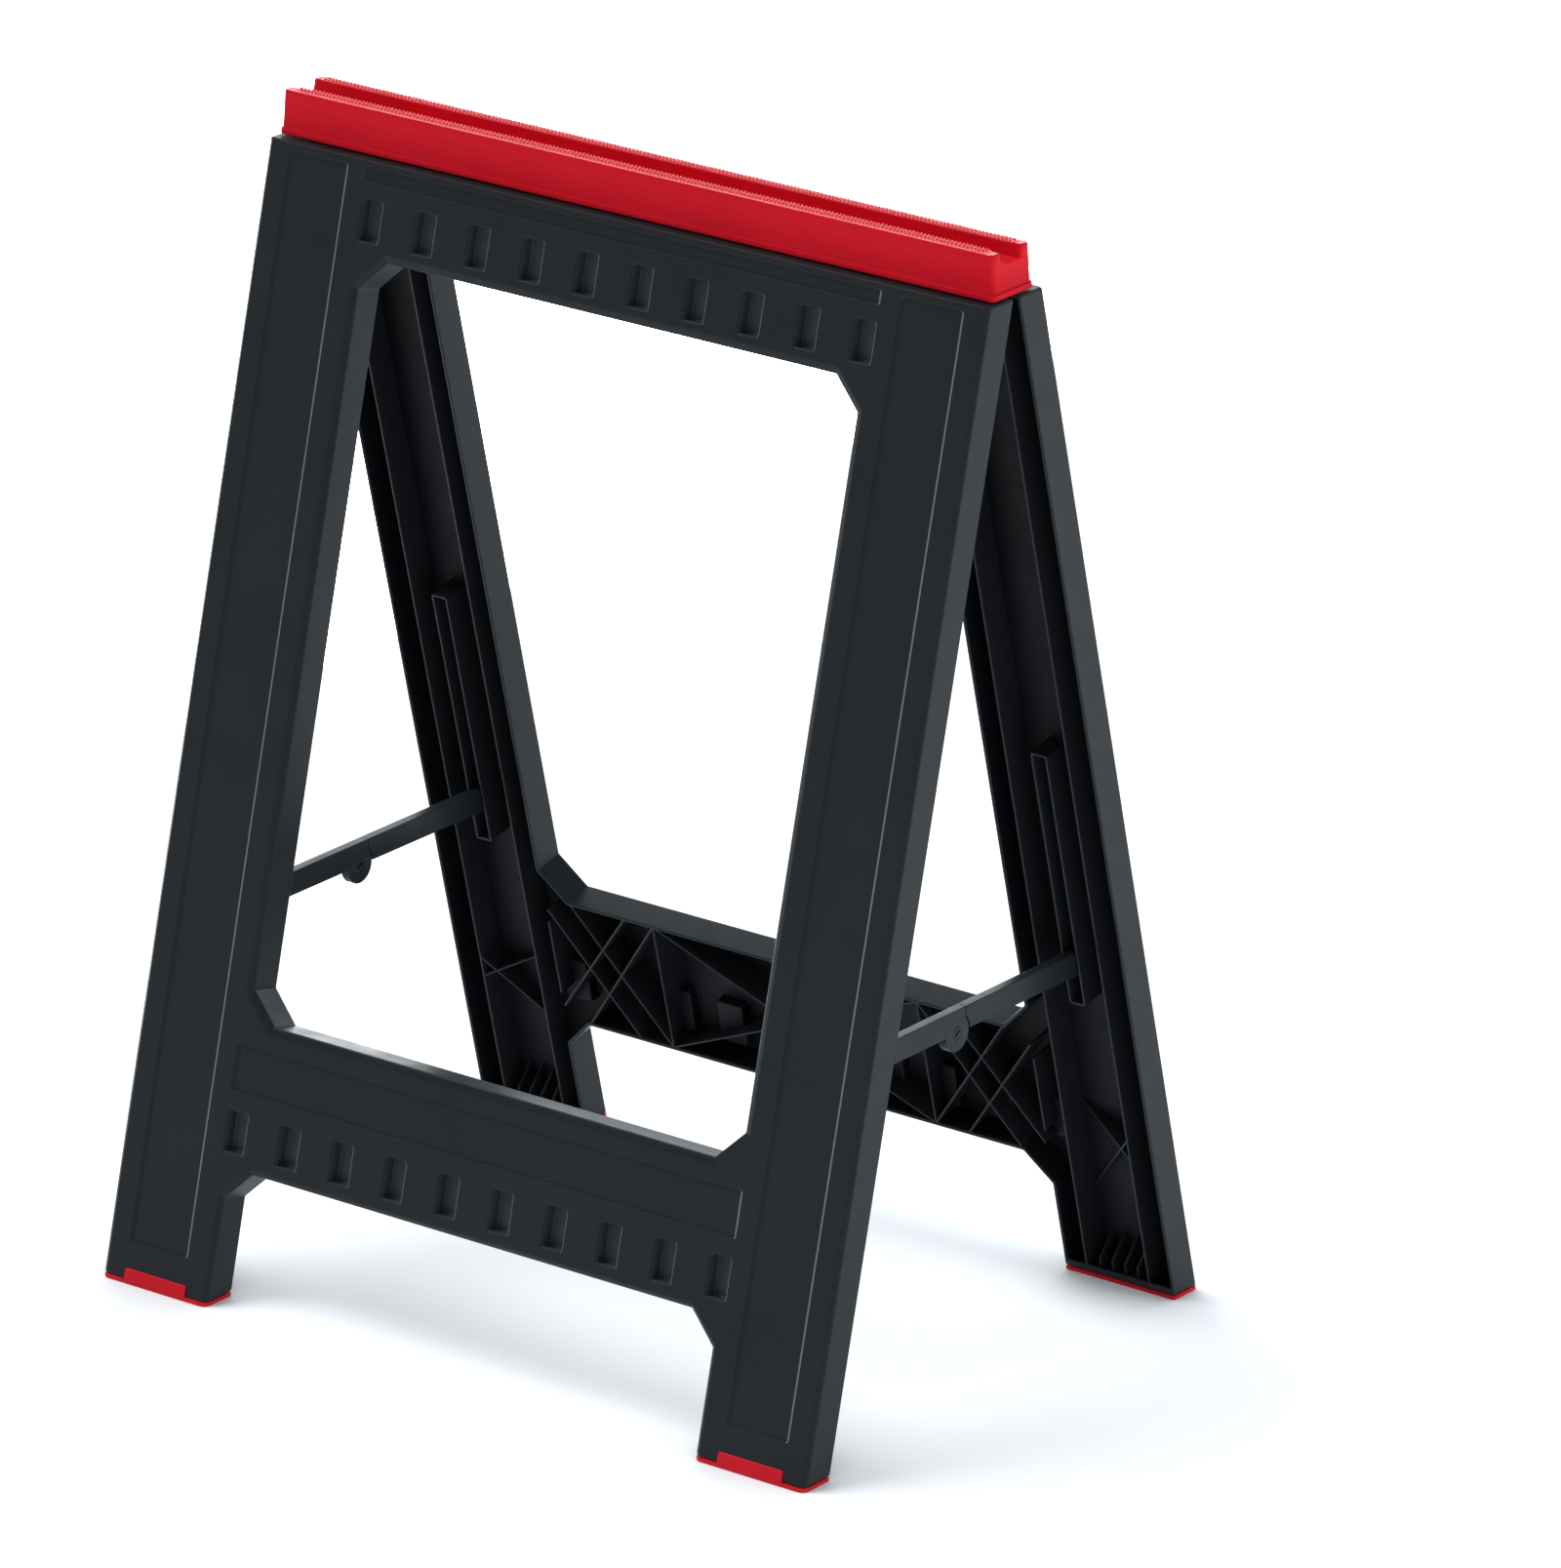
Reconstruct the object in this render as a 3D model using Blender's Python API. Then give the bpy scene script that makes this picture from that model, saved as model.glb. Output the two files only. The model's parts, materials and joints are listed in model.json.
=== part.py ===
"""Folding sawhorse: two moulded A-frames hinged under a top rail, with folding braces.

X runs along the rail, Y is the depth and Z is up. The feet stand on Z = 0 with the legs open,
and the rail and the frames are centred on X = 0, Y = 0.
Each frame is modelled upright in its own coordinates: X across, Z up the leg, outward to -Y,
with its origin on its hinge axis. The open position leans it over by the opening angle.
"""
import math

import bmesh
import bpy

MM = 0.001

# ---- Driving dimensions (millimetres until scaled by MM) ----
OPEN_DEG = 14.0           # lean of each frame when open
FRAME_WIDTH = 564.0       # across both legs
RIM_LENGTH = 736.0        # along the leg at its inner rim
WALL = 2.5                # moulded side walls and front skin
SIDE_DEPTH = 21.8         # inner rim to the edge of the front face
FACE_RISE = 2.4           # the front face stands proud of its edges
FACE_MARGIN = 4.6         # width of the sloped edge of the front face
FLOOR_WALL = 5.0          # wall across the bottom of each leg
HINGE_ABOVE_TOP = 5.0     # hinge axis above the frame's top
HINGE_HALF_GAP = 5.0      # hinge axis from the centre plane
TOP_HALF_GAP = 3.0        # inner rim from the centre plane at the frame's top, open
OPENING_HALF = 196.0      # half width of both openings
MAIN_TOP = 67.0           # along the leg, from the rim's top
MAIN_BOTTOM = 557.5
LOWER_TOP = 653.5
CHAMFER = 20.0
SOLE = 2.6
SOLE_GAP = 0.3
RAIL_GAP = 1.2            # between the frames' tops and the rail
RAIL_HEIGHT = 28.6
BRACE_SPAN = 129.0        # knee pivot to frame pivot
BRACE_HEIGHT = 16.0
BRACE_WIDTH = 6.7
BRACE_X = 239.2
KNEE_RADIUS = 12.0
CLEAR = 0.3

LEAN = math.radians(OPEN_DEG)
DEPTH = SIDE_DEPTH + FACE_RISE
HALF_WIDTH = FRAME_WIDTH / 2
FRAME_BOTTOM_Z = SOLE + SOLE_GAP
FRAME_TOP_Z = FRAME_BOTTOM_Z + RIM_LENGTH * math.cos(LEAN)
HINGE_Z = FRAME_TOP_Z + HINGE_ABOVE_TOP
RAIL_Z = FRAME_TOP_Z + RAIL_GAP
# The rim plane and the rim's top corner in the frame's own coordinates.
RIM_Y = (HINGE_HALF_GAP - TOP_HALF_GAP) * math.cos(LEAN) + HINGE_ABOVE_TOP * math.sin(LEAN)
RIM_TOP = (HINGE_HALF_GAP - TOP_HALF_GAP) * math.sin(LEAN) - HINGE_ABOVE_TOP * math.cos(LEAN)

# ---- Front face features, along the leg from the rim's top ----
PANEL_X = (216.0, 264.4)
PANEL_S = (11.0, 718.0)
PANEL_RECESS = 1.0
BAND_HALF = 202.0
TOP_BAND = (9.8, 19.6)
LOW_BAND = (573.0, 604.0)
POCKETS = 10
POCKET_SPAN = 386.0       # first to last pocket centre
POCKET_SIZE = (18.5, 28.5)
POCKET_DEPTH = 9.0
POCKET_WALL = 1.6
TOP_POCKETS_S = 43.5
LOW_POCKETS_S = 630.0

# ---- Ribs inside the frame ----
RIB = 1.5
RIB_SETBACK = 0.6         # rib edges sit just inside the rim plane
RIB_START = 6.6           # ribs stop below the sloping top wall
LEG_RIBS = (213.0, 262.0)
BOX_HALF = 6.3            # stowage box for the brace, to its ribs' outer faces
BOX_S = (340.0, 525.0)
LATTICE_X = 106.5
GUSSETS = 4
GUSSET_HEIGHT = 34.0

# ---- Hinges ----
HINGE_X = (150.0, 62.0)   # each frame's ears, outer and inner pair
EAR_WIDTH = 12.0
EAR_RADIUS = 3.7
HINGE_PIN_RADIUS = 1.8
BOSS_WIDTH = 4.0
BRACE_PIN_RADIUS = 2.5
KNEE_PIN_RADIUS = 2.4
THIN_LENGTH = 68.0        # tongue and fork length, so the open knee pivot stays clear
TONGUE = 2.1
BUTT = 8.5                # the bars butt this far past the knee pivot
KNEE_STEPS = 22           # sides of the knee disc's arc
END_STEPS = 10            # sides of the bar's rounded end
BRACE_EDGE = 0.2          # keeps the folded bars' lower edges apart
KNEE_GAP = 0.35           # between the tongue and the fork plates
RIVET_HEAD = 0.8          # how far a rivet's head stands out
RIVET_FLANGE = 1.8        # head radius beyond the pin's

# ---- Rail and grips ----
RAIL_BOTTOM_HALF = 20.4
RAIL_TOP_HALF = 19.4
RAIL_LIP = 0.8
LIP_HEIGHT = 3.8
RAIL_HALF = 278.4
GROOVE_TOP_HALF = 10.4
GROOVE_BOTTOM_HALF = 9.0
GROOVE_DEPTH = 8.3
RAIL_WALL = 2.8
GRIP_WIDTH = 6.2
GRIP_HEIGHT = 1.4
GRIP_RECESS = 0.6
GRIP_HALF = 272.0
END_NOTCH = 1.6           # notch under both ends of the rail, over the frames' gap

# ---- Foot caps ----
PEG_RADIUS = 3.5
PEG_REACH = 34.5
PEG_TOP = 12.0
TAB_HALF = 25.0
TAB_HEIGHT = 9.8
TAB_THICK = 1.6

RED = (0.50, 0.012, 0.022)
GRIP_RED = (0.62, 0.06, 0.07)
BLACK = (0.018, 0.022, 0.025)
STEEL = (0.45, 0.46, 0.47)


def clear_scene():
    for ob in list(bpy.data.objects):
        bpy.data.objects.remove(ob, do_unlink=True)
    for coll in list(bpy.data.collections):
        bpy.data.collections.remove(coll)


def new_collection(name):
    coll = bpy.data.collections.new(name)
    bpy.context.scene.collection.children.link(coll)
    return coll


clear_scene()
PARTS = new_collection("folding_sawhorse")
CUTTERS = new_collection("cutters")
CUTTERS.hide_render = True


def material(name, colour, roughness, metallic=0.0):
    mat = bpy.data.materials.new(name)
    mat.use_nodes = True
    shader = mat.node_tree.nodes["Principled BSDF"]
    shader.inputs["Base Color"].default_value = (*colour, 1.0)
    shader.inputs["Roughness"].default_value = roughness
    shader.inputs["Metallic"].default_value = metallic
    return mat


def link_only(ob, coll):
    for other in list(ob.users_collection):
        other.objects.unlink(ob)
    coll.objects.link(ob)
    return ob


def offset_outline(points, inset):
    """Move every edge of a counter-clockwise outline inward by inset."""
    result = []
    count = len(points)
    for i, (x, z) in enumerate(points):
        ax, az = x - points[i - 1][0], z - points[i - 1][1]
        bx, bz = points[(i + 1) % count][0] - x, points[(i + 1) % count][1] - z
        la, lb = math.hypot(ax, az), math.hypot(bx, bz)
        na, nb = (-az / la, ax / la), (-bz / lb, bx / lb)
        scale = inset / (1.0 + na[0] * nb[0] + na[1] * nb[1])
        result.append((x + (na[0] + nb[0]) * scale, z + (na[1] + nb[1]) * scale))
    return result


def prism(name, outlines, y_low, y_high):
    """A flat outline in X-Z, with any holes, given thickness from y_low to y_high."""
    curve = bpy.data.curves.new(name, "CURVE")
    curve.dimensions = "2D"
    curve.fill_mode = "BOTH"
    curve.extrude = (y_high - y_low) / 2 * MM
    for points in outlines:
        spline = curve.splines.new("POLY")
        spline.points.add(len(points) - 1)
        for point, (x, z) in zip(spline.points, points):
            point.co = (x * MM, z * MM, 0.0, 1.0)
        spline.use_cyclic_u = True
    guide = bpy.data.objects.new(name + "_outline", curve)
    CUTTERS.objects.link(guide)
    guide.rotation_euler = (math.pi / 2, 0.0, 0.0)
    guide.location = (0.0, (y_low + y_high) / 2 * MM, 0.0)
    bpy.context.view_layer.update()
    evaluated = guide.evaluated_get(bpy.context.evaluated_depsgraph_get())
    mesh = bpy.data.meshes.new_from_object(evaluated)
    mesh.transform(guide.matrix_world)
    bpy.data.objects.remove(guide, do_unlink=True)
    bm = bmesh.new()
    bm.from_mesh(mesh)
    bmesh.ops.remove_doubles(bm, verts=bm.verts, dist=0.00001)
    bmesh.ops.recalc_face_normals(bm, faces=bm.faces)
    bm.to_mesh(mesh)
    bm.free()
    mesh.name = name
    ob = bpy.data.objects.new(name, mesh)
    CUTTERS.objects.link(ob)
    return ob


def box(name, x, y, z):
    """A box from three (low, high) spans in millimetres."""
    mesh = bpy.data.meshes.new(name)
    bm = bmesh.new()
    bmesh.ops.create_cube(bm, size=1.0)
    for v in bm.verts:
        v.co.x = (x[0] + x[1]) / 2 * MM + v.co.x * (x[1] - x[0]) * MM
        v.co.y = (y[0] + y[1]) / 2 * MM + v.co.y * (y[1] - y[0]) * MM
        v.co.z = (z[0] + z[1]) / 2 * MM + v.co.z * (z[1] - z[0]) * MM
    bm.to_mesh(mesh)
    bm.free()
    ob = bpy.data.objects.new(name, mesh)
    CUTTERS.objects.link(ob)
    return ob


def rod_x(name, x, y, z, radius, sides=24):
    """A cylinder along X from x[0] to x[1], on the axis (y, z)."""
    bpy.ops.mesh.primitive_cylinder_add(vertices=sides, radius=radius * MM, depth=(x[1] - x[0]) * MM)
    ob = bpy.context.active_object
    ob.name = name
    ob.data.name = name
    link_only(ob, CUTTERS)
    for v in ob.data.vertices:
        v.co = (v.co.z + (x[0] + x[1]) / 2 * MM, v.co.x + y * MM, v.co.y + z * MM)
    return ob


def join(tools):
    """Gather several closed bodies in the first one's mesh."""
    first = tools[0]
    bm = bmesh.new()
    for ob in tools:
        bm.from_mesh(ob.data)
    bm.to_mesh(first.data)
    bm.free()
    for ob in tools[1:]:
        bpy.data.objects.remove(ob, do_unlink=True)
    return first


def boolean(target, tools, operation):
    """Apply one Boolean of all the tools to the target and remove them."""
    tool = join(tools)
    mod = target.modifiers.new("cut", "BOOLEAN")
    mod.operation = operation
    mod.use_self = len(tools) > 1
    mod.object = tool
    bpy.context.view_layer.update()
    evaluated = target.evaluated_get(bpy.context.evaluated_depsgraph_get())
    mesh = bpy.data.meshes.new_from_object(evaluated)
    target.modifiers.clear()
    old = target.data
    mesh.name = old.name
    target.data = mesh
    bpy.data.meshes.remove(old)
    bpy.data.objects.remove(tool, do_unlink=True)
    return target


def add(target, *tools):
    return boolean(target, tools, "UNION")


def cut(target, *tools):
    return boolean(target, tools, "DIFFERENCE")


def merge_flat(ob):
    """Join the flat pieces that the Booleans left, so each flat face is one face."""
    bm = bmesh.new()
    bm.from_mesh(ob.data)
    bmesh.ops.remove_doubles(bm, verts=bm.verts, dist=0.000005)
    bmesh.ops.dissolve_limit(bm, angle_limit=math.radians(0.05), verts=bm.verts, edges=bm.edges)
    bmesh.ops.triangulate(bm, faces=bm.faces)
    bm.to_mesh(ob.data)
    bm.free()
    return ob


def finish(ob, name, mat, smooth=False):
    ob.name = name
    ob.data.materials.clear()
    ob.data.materials.append(mat)
    if smooth:
        ob.data.shade_smooth()
        ob.data.set_sharp_from_angle(angle=math.radians(35))
    return link_only(ob, PARTS)


def pivot(name, x, y, z, parent=None):
    empty = bpy.data.objects.new(name, None)
    PARTS.objects.link(empty)
    empty.location = (x * MM, y * MM, z * MM)
    empty.parent = parent
    return empty


# ---- Frame outline, in the frame's own coordinates ----
def at(s):
    """Height in the frame's coordinates of a point s down the leg from the rim's top."""
    return RIM_TOP - s


def frame_outline():
    w, o, c = HALF_WIDTH, OPENING_HALF, CHAMFER
    bottom, low = at(RIM_LENGTH), at(LOWER_TOP)
    return [(w, at(0)), (-w, at(0)), (-w, bottom), (-o, bottom), (-o, low - c), (-o + c, low),
            (o - c, low), (o, low - c), (o, bottom), (w, bottom)]


def main_opening():
    o, c, top, low = OPENING_HALF, CHAMFER, at(MAIN_TOP), at(MAIN_BOTTOM)
    return [(-o, low + c), (-o, top - c), (-o + c, top), (o - c, top),
            (o, top - c), (o, low + c), (o - c, low), (-o + c, low)]


def inner_outline():
    """The hollow's outline: the walls' inner faces, with a thicker wall under the legs."""
    points = offset_outline(frame_outline(), WALL)
    floor = at(RIM_LENGTH - FLOOR_WALL)
    return [(x, floor if z < floor else z) for x, z in points]


def slope_ends(ob):
    """Lean the top and bottom faces so that they lie level when the frame is open."""
    for v in ob.data.vertices:
        if v.co.z > at(MAIN_TOP) * MM + 0.04 or v.co.z < at(LOWER_TOP + CHAMFER) * MM - 0.04:
            v.co.z += (v.co.y - RIM_Y * MM) * math.tan(LEAN)


def raise_face(ob):
    """Stand the front face proud, with a sloped margin at the sides and round the openings."""
    bm = bmesh.new()
    bm.from_mesh(ob.data)
    front = [f for f in bm.faces if f.normal.y < -0.99]
    bmesh.ops.inset_region(bm, faces=front, thickness=FACE_MARGIN * MM, depth=FACE_RISE * MM,
                           use_boundary=True, use_even_offset=True)
    near = (FACE_MARGIN + 0.1) * MM
    for v in bm.verts:
        if v.co.y < (RIM_Y - SIDE_DEPTH - FACE_RISE / 2) * MM:
            for edge in (at(0) * MM, at(RIM_LENGTH) * MM):
                if abs(v.co.z - edge) < near:
                    v.co.z = edge
    bm.to_mesh(ob.data)
    bm.free()


def rib(ends, thickness=RIB, edge=RIB_SETBACK):
    """A rib standing on the skin between two points (x, s)."""
    (x0, s0), (x1, s1) = ends
    length = math.hypot(x1 - x0, s1 - s0)
    ob = box("rib", (-length / 2, length / 2), (RIM_Y - SIDE_DEPTH - 0.5, RIM_Y - edge),
             (-thickness / 2, thickness / 2))
    angle = math.atan2(at(s1) - at(s0), x1 - x0)
    cos_a, sin_a = math.cos(angle), math.sin(angle)
    mid_x, mid_z = (x0 + x1) / 2 * MM, (at(s0) + at(s1)) / 2 * MM
    for v in ob.data.vertices:
        x, z = v.co.x, v.co.z
        v.co.x = mid_x + x * cos_a - z * sin_a
        v.co.z = mid_z + x * sin_a + z * cos_a
    return ob


def both_sides(ends):
    (x0, s0), (x1, s1) = ends
    return [((x0, s0), (x1, s1)), ((-x0, s0), (-x1, s1))]


def crossbar_ribs(top, bottom):
    """Lattice at both ends of a crossbar, uprights, and a large cross in the middle."""
    x, low, high = LATTICE_X, bottom - 1.5, top + 1.5
    ends = [((x, high), (x, low)), ((175.0, high), (x, low)), ((x, high), (175.0, low)),
            ((195.0, high + 9.0), (133.0, low)), ((130.0, high), (195.0, low - 9.0)),
            ((OPENING_HALF, high + CHAMFER - 2.0), (OPENING_HALF, low - CHAMFER + 2.0))]
    lines = [side for end in ends for side in both_sides(end)]
    return lines + [((-x, high), (x, low)), ((-x, low), (x, high))]


def leg_ribs():
    near, far = LEG_RIBS
    floor = RIM_LENGTH - FLOOR_WALL + 1.0
    ends = [((near, RIB_START), (near, floor)), ((far, RIB_START), (far, floor)),
            ((near, 556.0), (far, 622.0)), ((far, 606.0), (near, 655.0))]
    return [side for end in ends for side in both_sides(end)]


def box_ribs():
    """The stowage box round each folded brace, with its two side ribs and end ribs."""
    top, bottom = BOX_S
    offset = BOX_HALF - RIB / 2
    low, high = BRACE_X - offset, BRACE_X + offset
    ends = [((low, top), (low, bottom)), ((high, top), (high, bottom)),
            ((low, top), (high, top)), ((low, bottom), (high, bottom))]
    return [side for end in ends for side in both_sides(end)]


def gusset(x):
    """A thin corner plate from the leg's bottom wall up to the skin."""
    back, rim = RIM_Y - SIDE_DEPTH - 0.5, RIM_Y - 3.0
    floor = at(RIM_LENGTH - FLOOR_WALL + 1.0) - 4.0
    top = floor + GUSSET_HEIGHT
    ob = box("gusset", (x - RIB / 2, x + RIB / 2), (back, rim), (floor, top))
    for v in ob.data.vertices:
        if v.co.z > (floor + top) / 2 * MM and v.co.y > (back + rim) / 2 * MM:
            v.co.z = (floor + 11.0) * MM
    return ob


def pocket_rows():
    step = POCKET_SPAN / (POCKETS - 1)
    for s in (TOP_POCKETS_S, LOW_POCKETS_S):
        for i in range(POCKETS):
            yield -POCKET_SPAN / 2 + i * step, s


def pocket(x, s, grow, y_low, y_high):
    half_x, half_z = POCKET_SIZE[0] / 2 + grow, POCKET_SIZE[1] / 2 + grow
    return box("pocket", (x - half_x, x + half_x), (y_low, y_high), (at(s) - half_z, at(s) + half_z))


def brace_pivot_local():
    """The brace's frame pivot in the frame's own coordinates, as (y, z)."""
    y = -BRACE_SPAN + HINGE_HALF_GAP
    z = KNEE_Z + BRACE_HEIGHT / 2 - HINGE_Z
    return (y * math.cos(LEAN) - z * math.sin(LEAN), y * math.sin(LEAN) + z * math.cos(LEAN))


# The knee pivot's height follows from the frame pivot, which lies half a bar from the centre
# plane when the frame is upright.
def knee_height():
    upright = -BRACE_HEIGHT / 2 + HINGE_HALF_GAP
    y = -BRACE_SPAN + HINGE_HALF_GAP
    z = (y * math.cos(LEAN) - upright) / math.sin(LEAN)
    return z + HINGE_Z - BRACE_HEIGHT / 2


KNEE_Z = knee_height()


def frame_mesh():
    """One moulded frame: hollow at the back, ribbed, with pockets in both crossbars."""
    face_y = RIM_Y - DEPTH
    skin_y = RIM_Y - DEPTH + WALL + 0.3
    shell = prism("frame", [frame_outline(), main_opening()], RIM_Y - SIDE_DEPTH, RIM_Y)
    raise_face(shell)
    slope_ends(shell)
    hollow = prism("hollow", [inner_outline(), offset_outline(main_opening(), WALL)],
                   skin_y, RIM_Y + 5.0)
    slope_ends(hollow)
    cut(shell, hollow)
    add(shell, *inner_bodies(skin_y))
    cut(shell, *face_recesses(face_y), *pin_bores(), *foot_holes())
    return merge_flat(shell)


def inner_bodies(skin_y):
    """Everything that stands on the skin inside the hollow, and the ears above it."""
    lines = crossbar_ribs(RIB_START - 1.5, MAIN_TOP) + crossbar_ribs(MAIN_BOTTOM, LOWER_TOP)
    bodies = [rib(ends) for ends in lines + leg_ribs() + box_ribs()]
    pitch = (LEG_RIBS[1] - LEG_RIBS[0]) / (GUSSETS + 1)
    for side in (-1, 1):
        for i in range(GUSSETS):
            bodies.append(gusset(side * (LEG_RIBS[0] + (i + 1) * pitch)))
    back = RIM_Y - DEPTH + POCKET_DEPTH + POCKET_WALL
    for x, s in pocket_rows():
        bodies.append(pocket(x, s, POCKET_WALL, skin_y - 0.5, back))
    return bodies + pivot_pads() + ears()


def face_recesses(face_y):
    """Shallow bands and leg panels in the front face, and the pockets in both crossbars."""
    front, recess = face_y - 1.0, face_y + PANEL_RECESS
    tools = [pocket(x, s, 0.0, front, face_y + POCKET_DEPTH) for x, s in pocket_rows()]
    for low, high in (TOP_BAND, LOW_BAND):
        tools.append(box("band", (-BAND_HALF, BAND_HALF), (front, recess), (at(high), at(low))))
    for side in (-1, 1):
        spans = sorted((side * PANEL_X[0], side * PANEL_X[1]))
        tools.append(box("panel", spans, (front, recess), (at(PANEL_S[1]), at(PANEL_S[0]))))
    return tools


def pivot_pads():
    """Thick pads on the box ribs, for the brace's frame pin."""
    z = brace_pivot_local()[1]
    pads = []
    for side in (-1, 1):
        for edge in (-1, 1):
            inner = side * BRACE_X + edge * (BOX_HALF - RIB)
            outer = side * BRACE_X + edge * (BOX_HALF + 2.5)
            pads.append(box("pad", sorted((inner, outer)),
                            (RIM_Y - SIDE_DEPTH - 0.4, RIM_Y - 1.2), (z - 6.0, z + 6.0)))
    return pads


def ear_spans():
    for side in (-1, 1):
        for station in HINGE_X:
            yield side * station - EAR_WIDTH / 2, side * station + EAR_WIDTH / 2


def ears():
    """Hinge ears standing up into the rail."""
    bodies = []
    for x in ear_spans():
        bodies.append(box("stem", x, (-EAR_RADIUS + 0.2, RIM_Y - 0.4), (RIM_TOP - 4.0, 0.0)))
        grown = (x[0] - 0.1, x[1] + 0.1)
        bodies.append(rod_x("ear", grown, 0.0, 0.0, EAR_RADIUS, 20))
    return bodies


def pin_bores():
    """Bores for the brace pins and the hinge pins."""
    y, z = brace_pivot_local()
    reach = BOX_HALF + 4.0
    tools = [rod_x("bore", (side * BRACE_X - reach, side * BRACE_X + reach), y, z,
                   BRACE_PIN_RADIUS + CLEAR, 20) for side in (-1, 1)]
    for x in ear_spans():
        tools.append(rod_x("bore", (x[0] - 2, x[1] + 2), 0.0, 0.0, HINGE_PIN_RADIUS + CLEAR, 16))
    return tools


def peg_centres(side):
    """Peg centres under one front leg, in the open position."""
    y_rim = TOP_HALF_GAP + RIM_LENGTH * math.sin(LEAN)
    middle = side * (OPENING_HALF + HALF_WIDTH) / 2
    y = -(y_rim + SIDE_DEPTH / math.cos(LEAN) / 2)
    return [(middle - PEG_REACH, y), (middle + PEG_REACH, y)]


def foot_holes():
    """Round holes through the bottom walls for the foot caps' pegs, upright when open."""
    holes = []
    for side in (-1, 1):
        for x, y in peg_centres(side):
            hole = rod_z("hole", x, y, (-5.0, 14.0), PEG_RADIUS + CLEAR, 20)
            for v in hole.data.vertices:
                dy, dz = v.co.y + HINGE_HALF_GAP * MM, v.co.z - HINGE_Z * MM
                v.co.y = dy * math.cos(LEAN) - dz * math.sin(LEAN)
                v.co.z = dy * math.sin(LEAN) + dz * math.cos(LEAN)
            holes.append(hole)
    return holes


def rod_z(name, x, y, z, radius, sides=24):
    """A cylinder along Z from z[0] to z[1], on the axis (x, y)."""
    bpy.ops.mesh.primitive_cylinder_add(vertices=sides, radius=radius * MM, depth=(z[1] - z[0]) * MM)
    ob = bpy.context.active_object
    ob.name = name
    ob.data.name = name
    link_only(ob, CUTTERS)
    for v in ob.data.vertices:
        v.co = (v.co.x + x * MM, v.co.y + y * MM, v.co.z + (z[0] + z[1]) / 2 * MM)
    return ob


def foot_mesh(side):
    """A foot cap under the front frame's leg: sole, pegs and a tab up the leg's front face."""
    middle = side * (HALF_WIDTH + OPENING_HALF) / 2
    half = (HALF_WIDTH - OPENING_HALF) / 2
    rim = TOP_HALF_GAP + RIM_LENGTH * math.sin(LEAN)
    front = rim + SIDE_DEPTH / math.cos(LEAN)
    tab_back = front + FACE_RISE / math.cos(LEAN) + CLEAR
    foot = box("foot", (middle - half, middle + half), (-front - 0.2, -rim), (0.0, SOLE))
    tab = box("tab", (middle - TAB_HALF, middle + TAB_HALF), (-tab_back - TAB_THICK, -tab_back),
              (0.0, TAB_HEIGHT))
    for v in tab.data.vertices:
        v.co.y += (v.co.z - FRAME_BOTTOM_Z * MM) * math.tan(LEAN)
    lip = box("lip", (middle - TAB_HALF + 0.1, middle + TAB_HALF - 0.1),
              (-tab_back - TAB_THICK / 2, -rim - 1.0), (0.05, SOLE - 0.05))
    pegs = [rod_z("peg", x, y, (SOLE - 1.0, PEG_TOP), PEG_RADIUS, 16) for x, y in peg_centres(side)]
    add(foot, lip, tab, *pegs)
    return merge_flat(foot)


# ---- Rail, grips and hinge pins ----
def profile_x(name, points, x_low, x_high):
    """A closed Y-Z outline carried along X."""
    ob = prism(name, [points], x_low, x_high)
    for v in ob.data.vertices:
        x, y, z = v.co
        v.co = (y, x, z)
    ob.data.flip_normals()
    return ob


def rail_mesh():
    top = RAIL_Z + RAIL_HEIGHT
    b, t, g, f = RAIL_BOTTOM_HALF, RAIL_TOP_HALF, GROOVE_TOP_HALF, GROOVE_BOTTOM_HALF
    groove_z = top - GROOVE_DEPTH
    lip_z = RAIL_Z + LIP_HEIGHT
    body = [(-b - RAIL_LIP, RAIL_Z), (b + RAIL_LIP, RAIL_Z), (b + RAIL_LIP, lip_z), (b, lip_z),
            (t, top), (g, top), (f, groove_z), (-f, groove_z), (-g, top), (-t, top), (-b, lip_z),
            (-b - RAIL_LIP, lip_z)]
    rail = profile_x("rail", body, -RAIL_HALF, RAIL_HALF)
    w = RAIL_WALL
    hollow = [(-b + w, RAIL_Z - 5.0), (b - w, RAIL_Z - 5.0), (t - w, top - w), (g + w - 1.0, top - w),
              (f + w - 1.0, groove_z - w), (-f - w + 1.0, groove_z - w), (-g - w + 1.0, top - w),
              (-t + w, top - w)]
    cut(rail, profile_x("hollow", hollow, -RAIL_HALF + w + 1.0, RAIL_HALF - w - 1.0))
    add(rail, *rail_bosses(groove_z))
    tools = rail_bores()
    for side in (-1, 1):
        middle, half = side * (t + g) / 2, GRIP_WIDTH / 2 + CLEAR
        tools.append(box("seat", (-GRIP_HALF - CLEAR, GRIP_HALF + CLEAR),
                         (middle - half, middle + half), (top - GRIP_RECESS - CLEAR, top + 2.0)))
    tools.append(box("notch", (-RAIL_HALF - 5.0, RAIL_HALF + 5.0), (-7.0, 7.0),
                     (RAIL_Z - 1.0, RAIL_Z + END_NOTCH)))
    cut(rail, *tools)
    return merge_flat(rail)


def rail_bosses(groove_z):
    """Plates across the rail's hollow, one each side of every pair of hinge ears."""
    depth = RAIL_BOTTOM_HALF - 1.0
    bosses = []
    for side in (-1, 1):
        for station in HINGE_X:
            for edge in (-1, 1):
                inner = side * station + edge * (EAR_WIDTH / 2 + 0.6)
                bosses.append(box("boss", sorted((inner, inner + edge * BOSS_WIDTH)),
                                  (-depth, depth), (RAIL_Z + 0.4, groove_z - 1.0)))
    return bosses


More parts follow.
